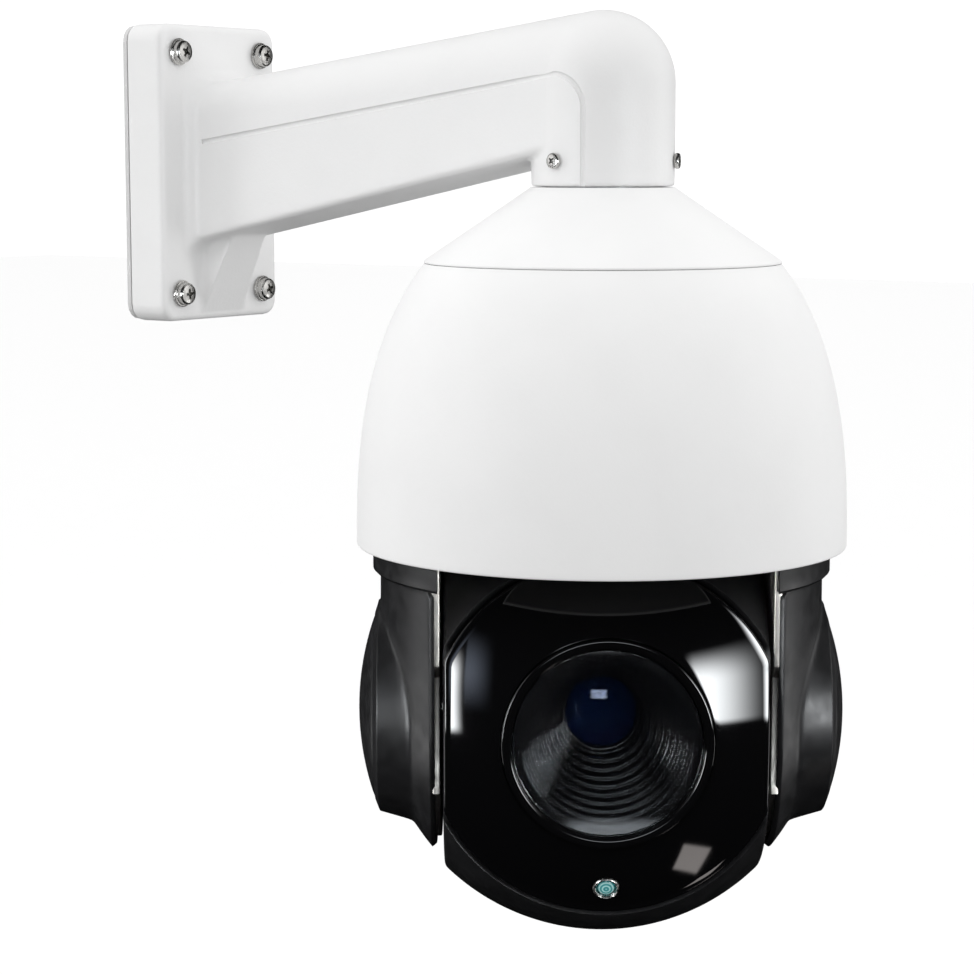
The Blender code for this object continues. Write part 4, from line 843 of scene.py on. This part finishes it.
def make_yoke_plates():
    """Brushed side plates that carry the head, with a shallow front notch."""
    half, top = YOKE_PLATE_HALF, DISC_LOW.z - GAP - TILT_Z
    front = [(half, top), (half, NOTCH_TOP + PLATE_NOTCH), (half - PLATE_NOTCH, NOTCH_TOP),
             (half - PLATE_NOTCH, NOTCH_LOW), (PLATE_FOOT_R, NOTCH_LOW - PLATE_NOTCH)]
    front += [(PLATE_FOOT_R * math.sin(math.radians(t)), -PLATE_FOOT_R * math.cos(math.radians(t)))
              for t in range(64, -1, -4)]
    outline = front + [(-v, z) for v, z in reversed(front) if v > 1e-6]
    for name, side in (("left", -1), ("right", 1)):
        sheets = [[(side * u, -v, z) for v, z in outline] for u in (PLATE_IN, PLATE_OUT)]
        plate = solid(f"side_plate_{name}", *loft(sheets), HEAD)
        hole = peg(BEARING_HOLE_R, PLATE_IN - 1, PLATE_OUT + 1, 64, "X")
        cut(plate, [(*mirrored(hole, side), HEAD)], "EXACT")
        bevel(plate, 0.45, 3, 25)
        settle(plate)
        dress(plate, "yoke", EDGE_STEEL, f"yoke_plate_{name}")


# -------- head

def head_skin():
    """Half outline of the head about the tilt axis: flat cheeks, small fillets and a ball."""
    corner = math.sqrt(HEAD_R ** 2 - HEAD_FLAT ** 2)
    arc_end = HEAD_FLAT - 1.2
    steps = 40
    half = [(AXLE_HOLE_R, HEAD_FLAT), (corner - 14, HEAD_FLAT), (corner - 1.6, HEAD_FLAT)]
    arc = [arc_end * math.cos(math.pi * i / (2 * steps)) for i in range(steps + 1)]
    ball = [(math.sqrt(HEAD_R ** 2 - u * u), u) for u in arc]
    first, middle, last = Vector(half[-1]), Vector((corner, HEAD_FLAT)), Vector(ball[0])
    fillet = [curve(first, middle, last, t) for t in (0.25, 0.5, 0.75)]
    upper = half + fillet + ball
    return upper + [(r, -u) for r, u in reversed(upper[:-1])]


def keep_between(thing, low_v, high_v):
    """Trim a mesh to a stretch of the lens axis."""
    forward = (HEAD.to_3x3() @ Vector((0, -1, 0))).normalized()
    work = bmesh.new()
    work.from_mesh(thing.data)
    for v, way in ((low_v, -1), (high_v, 1)):
        if v is None:
            continue
        everything = work.verts[:] + work.edges[:] + work.faces[:]
        bmesh.ops.bisect_plane(work, geom=everything, plane_co=HEAD @ Vector((0, -v * MM, 0)),
                               plane_no=forward * way, clear_outer=True)
    work.to_mesh(thing.data)
    work.free()


def make_head_shells():
    spans = {"head_bezel": (SHELL_JOINT_V, SHELL_FRONT_V, "head_front_shell"),
             "head_back": (None, REAR_JOINT_V, "head_rear_shell")}
    for name, (low, high, node) in spans.items():
        shell = solid(name, *lathe(head_skin(), 256, "X", closed=False), HEAD)
        keep_between(shell, low, high)
        centre = HEAD.translation
        outward = sum((p.center - centre).dot(p.normal) for p in shell.data.polygons)
        if outward < 0:
            shell.data.flip_normals()
        thicken(shell, HEAD_WALL)
        settle(shell)
        if name == "head_back":
            tools = []
            for u, z in REAR_SCREWS:
                depth = math.sqrt(HEAD_R ** 2 - u * u - z * z)
                well = peg(REAR_WELL_R, -depth + REAR_WELL_DEPTH, -depth - 9, 40, "-Y")
                tools.append((*moved(well, (u, 0, z)), HEAD))
            cut(shell, tools, "EXACT")
        bevel(shell, 0.3, 2, 50)
        settle(shell)
        dress(shell, "head", BLACK, node)


def make_rear_screws():
    for number, (u, z) in enumerate(REAR_SCREWS, 1):
        depth = math.sqrt(HEAD_R ** 2 - u * u - z * z) - REAR_WELL_DEPTH + GAP
        place = HEAD @ Matrix.Translation(Vector((u, depth, z)) * MM) @ Matrix.Rotation(math.pi / 2, 4, "Z")
        cross_screw(f"rear_screw_{number}", place, "head", [f"head_screw_{number}"],
                    REAR_HEAD_R, REAR_HEAD_H, REAR_SHANK_R, REAR_SHANK_LENGTH)


def make_panel():
    """Crowned piano-black front with rolled edges, a window hole and a sensor hole."""
    segments = 288
    hole = RING_R + GAP
    side = HEAD_FLAT - 0.4
    back = PANEL_EDGE_V - PANEL_T + GAP
    angles = [2 * math.pi * i / segments for i in range(segments)]
    rim = {t: min(PANEL_R, side / max(abs(math.cos(t)), 1e-6)) for t in angles}
    mouth = ((hole, panel_v(hole) - PANEL_T), (hole, panel_v(hole) - 0.6),
             (hole + 0.25, panel_v(hole) - 0.15), (hole + 0.9, panel_v(hole + 0.9)))
    rings = [[point for _ in angles] for point in mouth]
    for i in range(1, 12):
        reach = [hole + 0.9 + (rim[t] - PANEL_ROLL - hole - 0.9) * (i / 12) for t in angles]
        rings.append([(r, panel_v(r)) for r in reach])
    for turn in range(0, 91, 15):
        out = PANEL_ROLL * math.sin(math.radians(turn))
        drop = PANEL_ROLL * (1 - math.cos(math.radians(turn)))
        rings.append([(rim[t] - PANEL_ROLL + out, panel_v(rim[t] - PANEL_ROLL) - drop) for t in angles])
    rings.append([(rim[t], back) for t in angles])
    rings.append([(rim[t] - 3, back) for t in angles])
    sections = [[(r * math.cos(t), -v, r * math.sin(t)) for (r, v), t in zip(line, angles)] for line in rings]
    panel = solid("gloss_panel", *loft(sections, closed=True), HEAD, 50)
    bore = sensor_place(peg(SENSOR_R + GAP, -9, 6, 48, "-Y"))
    cut(panel, [(*bore, HEAD)], "EXACT")
    dress(panel, "head", GLOSS, "front_panel")


def make_window():
    edge = panel_v(RING_R)
    back, front = edge - RING_DEPTH, edge + RING_PROUD
    ring = [(RING_IN, back), (RING_R, back), (RING_R, front), (RING_IN + 0.6, front), (RING_IN, edge + 0.6)]
    bezel = solid("window_bezel", *lathe(eased(ring, 0.8, 4), 200, "-Y"), HEAD, 50)
    dress(bezel, "head", GLOSS, "window_ring")
    pane_r, back, front = RING_IN - GAP, edge - PANE_BACK, edge - PANE_FRONT
    pane = eased([(0.0, back), (pane_r, back), (pane_r, front), (0.0, front)], 0.4, 3)
    glass = solid("window_pane", *lathe(pane, 160, "-Y"), HEAD, 50)
    glass.visible_shadow = False
    dress(glass, "head", GLASS, "window_glass")


def make_hood():
    """Funnel of stepped baffle rings between the window and the lens."""
    front_v = panel_v(RING_R) - PANE_BACK - GAP
    rise = (front_v - HOOD_BACK_V) / HOOD_STEPS
    widen = (HOOD_FRONT_R - HOOD_BACK_R) / (HOOD_STEPS - 1)
    inner = []
    for i in range(HOOD_STEPS):
        radius = HOOD_BACK_R + widen * i
        inner += [(radius, HOOD_BACK_V + rise * i), (radius, HOOD_BACK_V + rise * (i + 0.86)),
                  (radius + 0.25 * widen, HOOD_BACK_V + rise * (i + 1))]
    outer = [(RING_IN - GAP, front_v), (RING_IN - GAP, front_v - 3), (HOOD_BACK_R + 4.5, HOOD_BACK_V)]
    hood = solid("stepped_hood", *lathe(eased(inner + outer, 0.45, 4), 160, "-Y"), HEAD, 50)
    dress(hood, "head", HOOD, "lens_hood")


def make_lens():
    """Barrel with a stepped retaining ring in front of the coated front element."""
    bore = BARREL_BORE_R
    ring = [(bore, BARREL_BACK_V), (BARREL_R, BARREL_BACK_V), (BARREL_R, BARREL_FRONT_V),
            (bore - 0.9, BARREL_FRONT_V), (bore - 1.6, 20.2),
            (bore - 2.3, 20.2), (bore - 2.9, 19.4), (bore - 2.9, 18.6), (bore - GAP, 18.6), (bore, 18.3)]
    barrel = solid("barrel", *lathe(eased(ring, 0.25, 2), 128, "-Y"), HEAD)
    dress(barrel, "head", HOOD, "lens_barrel")
    lens_r = bore - GAP
    radii = [lens_r * math.sin(math.radians(t)) for t in range(90, 0, -6)]
    dome = [(r, LENS_TOP_V + math.sqrt(LENS_CROWN_R ** 2 - r * r) - LENS_CROWN_R) for r in radii]
    profile = [(0.0, LENS_BACK_V), (lens_r, LENS_BACK_V)] + dome + [(0.0, LENS_TOP_V)]
    element = solid("front_element", *lathe(profile, 128, "-Y"), HEAD, 50)
    dress(element, "head", LENS, "front_lens")


def sensor_place(data):
    lean = math.degrees(math.atan2(SENSOR_RHO, PANEL_CROWN_R))
    return moved(data, (0, -panel_v(SENSOR_RHO), -SENSOR_RHO), turn_x=lean)


def make_sensor():
    bezel = [(SENSOR_LENS_R + GAP, -SENSOR_DEPTH), (SENSOR_R, -SENSOR_DEPTH), (SENSOR_R, 0.2),
             (SENSOR_R - 0.5, 0.8), (SENSOR_LENS_R + 0.9, 0.8), (SENSOR_LENS_R + GAP, -0.2)]
    ring = solid("sensor_bezel", *sensor_place(lathe(eased(bezel, 0.25, 3), 96, "-Y")), HEAD)
    dress(ring, "head", STEEL, "light_sensor_bezel")
    dome = [(SENSOR_LENS_R * math.cos(math.radians(t)), -0.5 + 1.0 * math.sin(math.radians(t)))
            for t in range(0, 90, 10)]
    profile = [(0.0, -SENSOR_DEPTH), (SENSOR_LENS_R, -SENSOR_DEPTH)] + dome + [(0.0, 0.5)]
    cell = solid("sensor_cell", *sensor_place(lathe(profile, 64, "-Y")), HEAD)
    dress(cell, "head", TEAL, "light_sensor_lens")


# -------- stage

CAMERA_SIDE, CAMERA_BACK, CAMERA_Z = -0.046, 1.0, 0.0065
CAMERA_LENS, CAMERA_PITCH = 92.4, 7.49
FLOOR_Z, FLOOR_HALF = -1.1, 20000.0
SKY_LOW, SKY_HIGH = 0.35, 1.1
DUSK_LOW, DUSK_HIGH = -0.35, -0.02  # sine of the elevation between which the sky brightens
LIGHT_AIM_Z = -0.18
CARD_AWAY, CARD_STEPS = 1300.0, 12
LOOK = Vector((math.sin(PAN_REST), -math.cos(PAN_REST), 0))  # from the neck to the camera, level
ACROSS = Vector((math.cos(PAN_REST), math.sin(PAN_REST), 0))  # to the right in the picture


def make_camera():
    data = bpy.data.cameras.new("camera")
    data.lens = CAMERA_LENS
    data.clip_start, data.clip_end = 0.01, 30
    camera = bpy.data.objects.new("camera", data)
    bpy.context.scene.collection.objects.link(camera)
    camera.location = NECK.translation + ACROSS * CAMERA_SIDE + LOOK * CAMERA_BACK + Vector((0, 0, CAMERA_Z))
    camera.rotation_euler = (math.radians(90 - CAMERA_PITCH), 0, PAN_REST)
    bpy.context.scene.camera = camera


def softbox(name, right, ahead, up, size, power, glossy=True):
    """Area light placed from the camera's side: right, ahead (towards the camera) and up, in metres."""
    data = bpy.data.lights.new(name, "AREA")
    data.shape = "RECTANGLE"
    data.size, data.size_y = size
    data.energy = power
    light = bpy.data.objects.new(name, data)
    bpy.context.scene.collection.objects.link(light)
    light.location = NECK.translation + ACROSS * right + LOOK * ahead + Vector((0, 0, up))
    aim = NECK.translation + Vector((0, 0, LIGHT_AIM_Z))
    light.rotation_euler = (aim - light.location).to_track_quat("-Z", "Y").to_euler()
    light.visible_glossy = glossy
    light.visible_camera = False


def make_floor():
    """Pale floor; nothing mirrors it, and the sky's darker lower half shades the undersides."""
    half = FLOOR_HALF
    corners = [(-half, -half, 0), (half, -half, 0), (half, half, 0), (-half, half, 0)]
    floor = solid("floor", corners, [[0, 1, 2, 3]], Matrix.Translation((0, 0, FLOOR_Z)))
    pale = Surface("floor_pale", (0.95, 0.95, 0.95), 0.0, 0.9)
    pale.roughness_from(pale.spread(pale.noise(40.0), 0.85, 0.95))
    floor.data.materials.append(pale.material)
    floor.visible_glossy = False
    floor.visible_diffuse = False
    floor.visible_transmission = False


def make_world():
    """White studio air, darker below the horizon, that shows in no polished surface or glass."""
    world = bpy.data.worlds.new("studio")
    world.use_nodes = True
    tree = world.node_tree
    where = add_node(tree, "ShaderNodeTexCoord").outputs["Generated"]
    split = add_node(tree, "ShaderNodeSeparateXYZ", {0: where})
    inputs = {"Value": split.outputs["Z"], "From Min": DUSK_LOW, "From Max": DUSK_HIGH,
              "To Min": SKY_LOW, "To Max": SKY_HIGH}
    ramp = add_node(tree, "ShaderNodeMapRange", inputs)
    sky = tree.nodes["Background"]
    tree.links.new(ramp.outputs[0], sky.inputs["Strength"])
    sky.inputs["Color"].default_value = (1, 1, 1, 1)
    bpy.context.scene.world = world
    world.cycles_visibility.glossy = False
    world.cycles_visibility.transmission = False


def card_sheet(name, azimuth, elevation):
    """Part of a sphere round the head, with a UV map that runs from 0 to 1 each way."""
    count = CARD_STEPS + 1
    points, faces = [], []
    for row in range(count):
        up = math.radians(elevation[0] + (elevation[1] - elevation[0]) * row / CARD_STEPS)
        for column in range(count):
            turn = math.radians(azimuth[0] + (azimuth[1] - azimuth[0]) * column / CARD_STEPS)
            level = ACROSS * math.sin(turn) + LOOK * math.cos(turn)
            points.append(tuple((level * math.cos(up) + Vector((0, 0, math.sin(up)))) * CARD_AWAY))
    for row in range(CARD_STEPS):
        for column in range(CARD_STEPS):
            low = row * count + column
            faces.append([low, low + 1, low + count + 1, low + count])
    sheet = solid(name, points, faces, Matrix.Translation(HEAD.translation))
    spots = sheet.data.uv_layers.new(name="sheet").data
    for loop in sheet.data.loops:
        row, column = divmod(loop.vertex_index, count)
        spots[loop.index].uv = (column / CARD_STEPS, row / CARD_STEPS)
    return sheet


def fading_glow(name, strength, fade, colour):
    """Emission that grows from each edge of a sheet over the share given in fade."""
    glow = bpy.data.materials.new(name)
    glow.use_nodes = True
    tree = glow.node_tree
    tree.nodes.clear()
    where = add_node(tree, "ShaderNodeTexCoord").outputs["UV"]
    split = add_node(tree, "ShaderNodeSeparateXYZ", {0: where})
    left, right, low, high = fade
    level = None
    for axis, edge, full in (("X", 0.0, left), ("X", 1.0, 1 - right), ("Y", 0.0, low), ("Y", 1.0, 1 - high)):
        inputs = {"Value": split.outputs[axis], "From Min": edge, "From Max": full,
                  "To Max": 1.0 if level else strength}
        ramp = add_node(tree, "ShaderNodeMapRange", inputs, interpolation_type="SMOOTHSTEP").outputs[0]
        if level:
            ramp = add_node(tree, "ShaderNodeMath", {0: level, 1: ramp}, operation="MULTIPLY").outputs[0]
        level = ramp
    lamp = add_node(tree, "ShaderNodeEmission", {"Strength": level, "Color": (*colour, 1.0)})
    add_node(tree, "ShaderNodeOutputMaterial", {"Surface": lamp.outputs[0]})
    return glow


def card(name, azimuth, elevation, strength, fade, colour=(1.0, 1.0, 1.0)):
    """Glowing sheet that only shiny surfaces mirror.

    Azimuth runs to the right of the camera's direction and elevation upwards, in degrees from the
    head.  The fade gives the share of the sheet over which its light grows from each edge: left,
    right, low, high.
    """
    sheet = card_sheet(name, azimuth, elevation)
    sheet.data.materials.append(fading_glow(name, strength, fade, colour))
    sheet.visible_camera = False
    sheet.visible_diffuse = False
    sheet.visible_shadow = False


def make_lights():
    """Soft boxes for the white paint, and cards that the black and the metal parts mirror."""
    softbox("key", -0.9, 0.9, 1.3, (1.2, 0.9), 3.0, glossy=False)
    softbox("rear_left", -1.5, -0.35, -0.1, (0.5, 1.6), 6.0)
    softbox("rear_right", 1.5, -0.35, -0.1, (0.5, 1.6), 6.0)
    card("left_streak", (-60, -45.5), (-11, 16), 26.0, (0.3, 0.3, 0.12, 0.35), (0.95, 0.98, 1.0))
    card("left_haze", (-45.5, -36), (-4, 22), 2.0, (0.02, 0.95, 0.5, 0.5), (0.7, 0.8, 1.0))
    card("right_window", (29, 57), (-7, 18), 24.0, (0.14, 0.85, 0.1, 0.45), (0.95, 0.98, 1.0))
    card("low_patch", (36, 49), (-55, -45), 3.0, (0.1, 0.1, 0.15, 0.15), (1.0, 0.93, 0.9))
    card("front", (-12, 12), (1, 14), 5.0, (0.2, 0.2, 0.2, 0.2), (0.9, 0.95, 1.0))
    card("left_side", (-112, -68), (-8, 40), 1.5, (0.3, 0.3, 0.3, 0.3))
    card("right_side", (68, 112), (-8, 40), 1.5, (0.3, 0.3, 0.3, 0.3))
    bpy.context.scene.view_settings.view_transform = "Standard"


make_bracket()
make_screws()
make_cap()
make_housing()
make_turntable()
make_collar()
make_covers()
make_ear_caps()
make_yoke_plates()
make_head_shells()
make_rear_screws()
make_panel()
make_window()
make_hood()
make_lens()
make_sensor()
finish_inner_parts()
make_camera()
make_floor()
make_world()
make_lights()
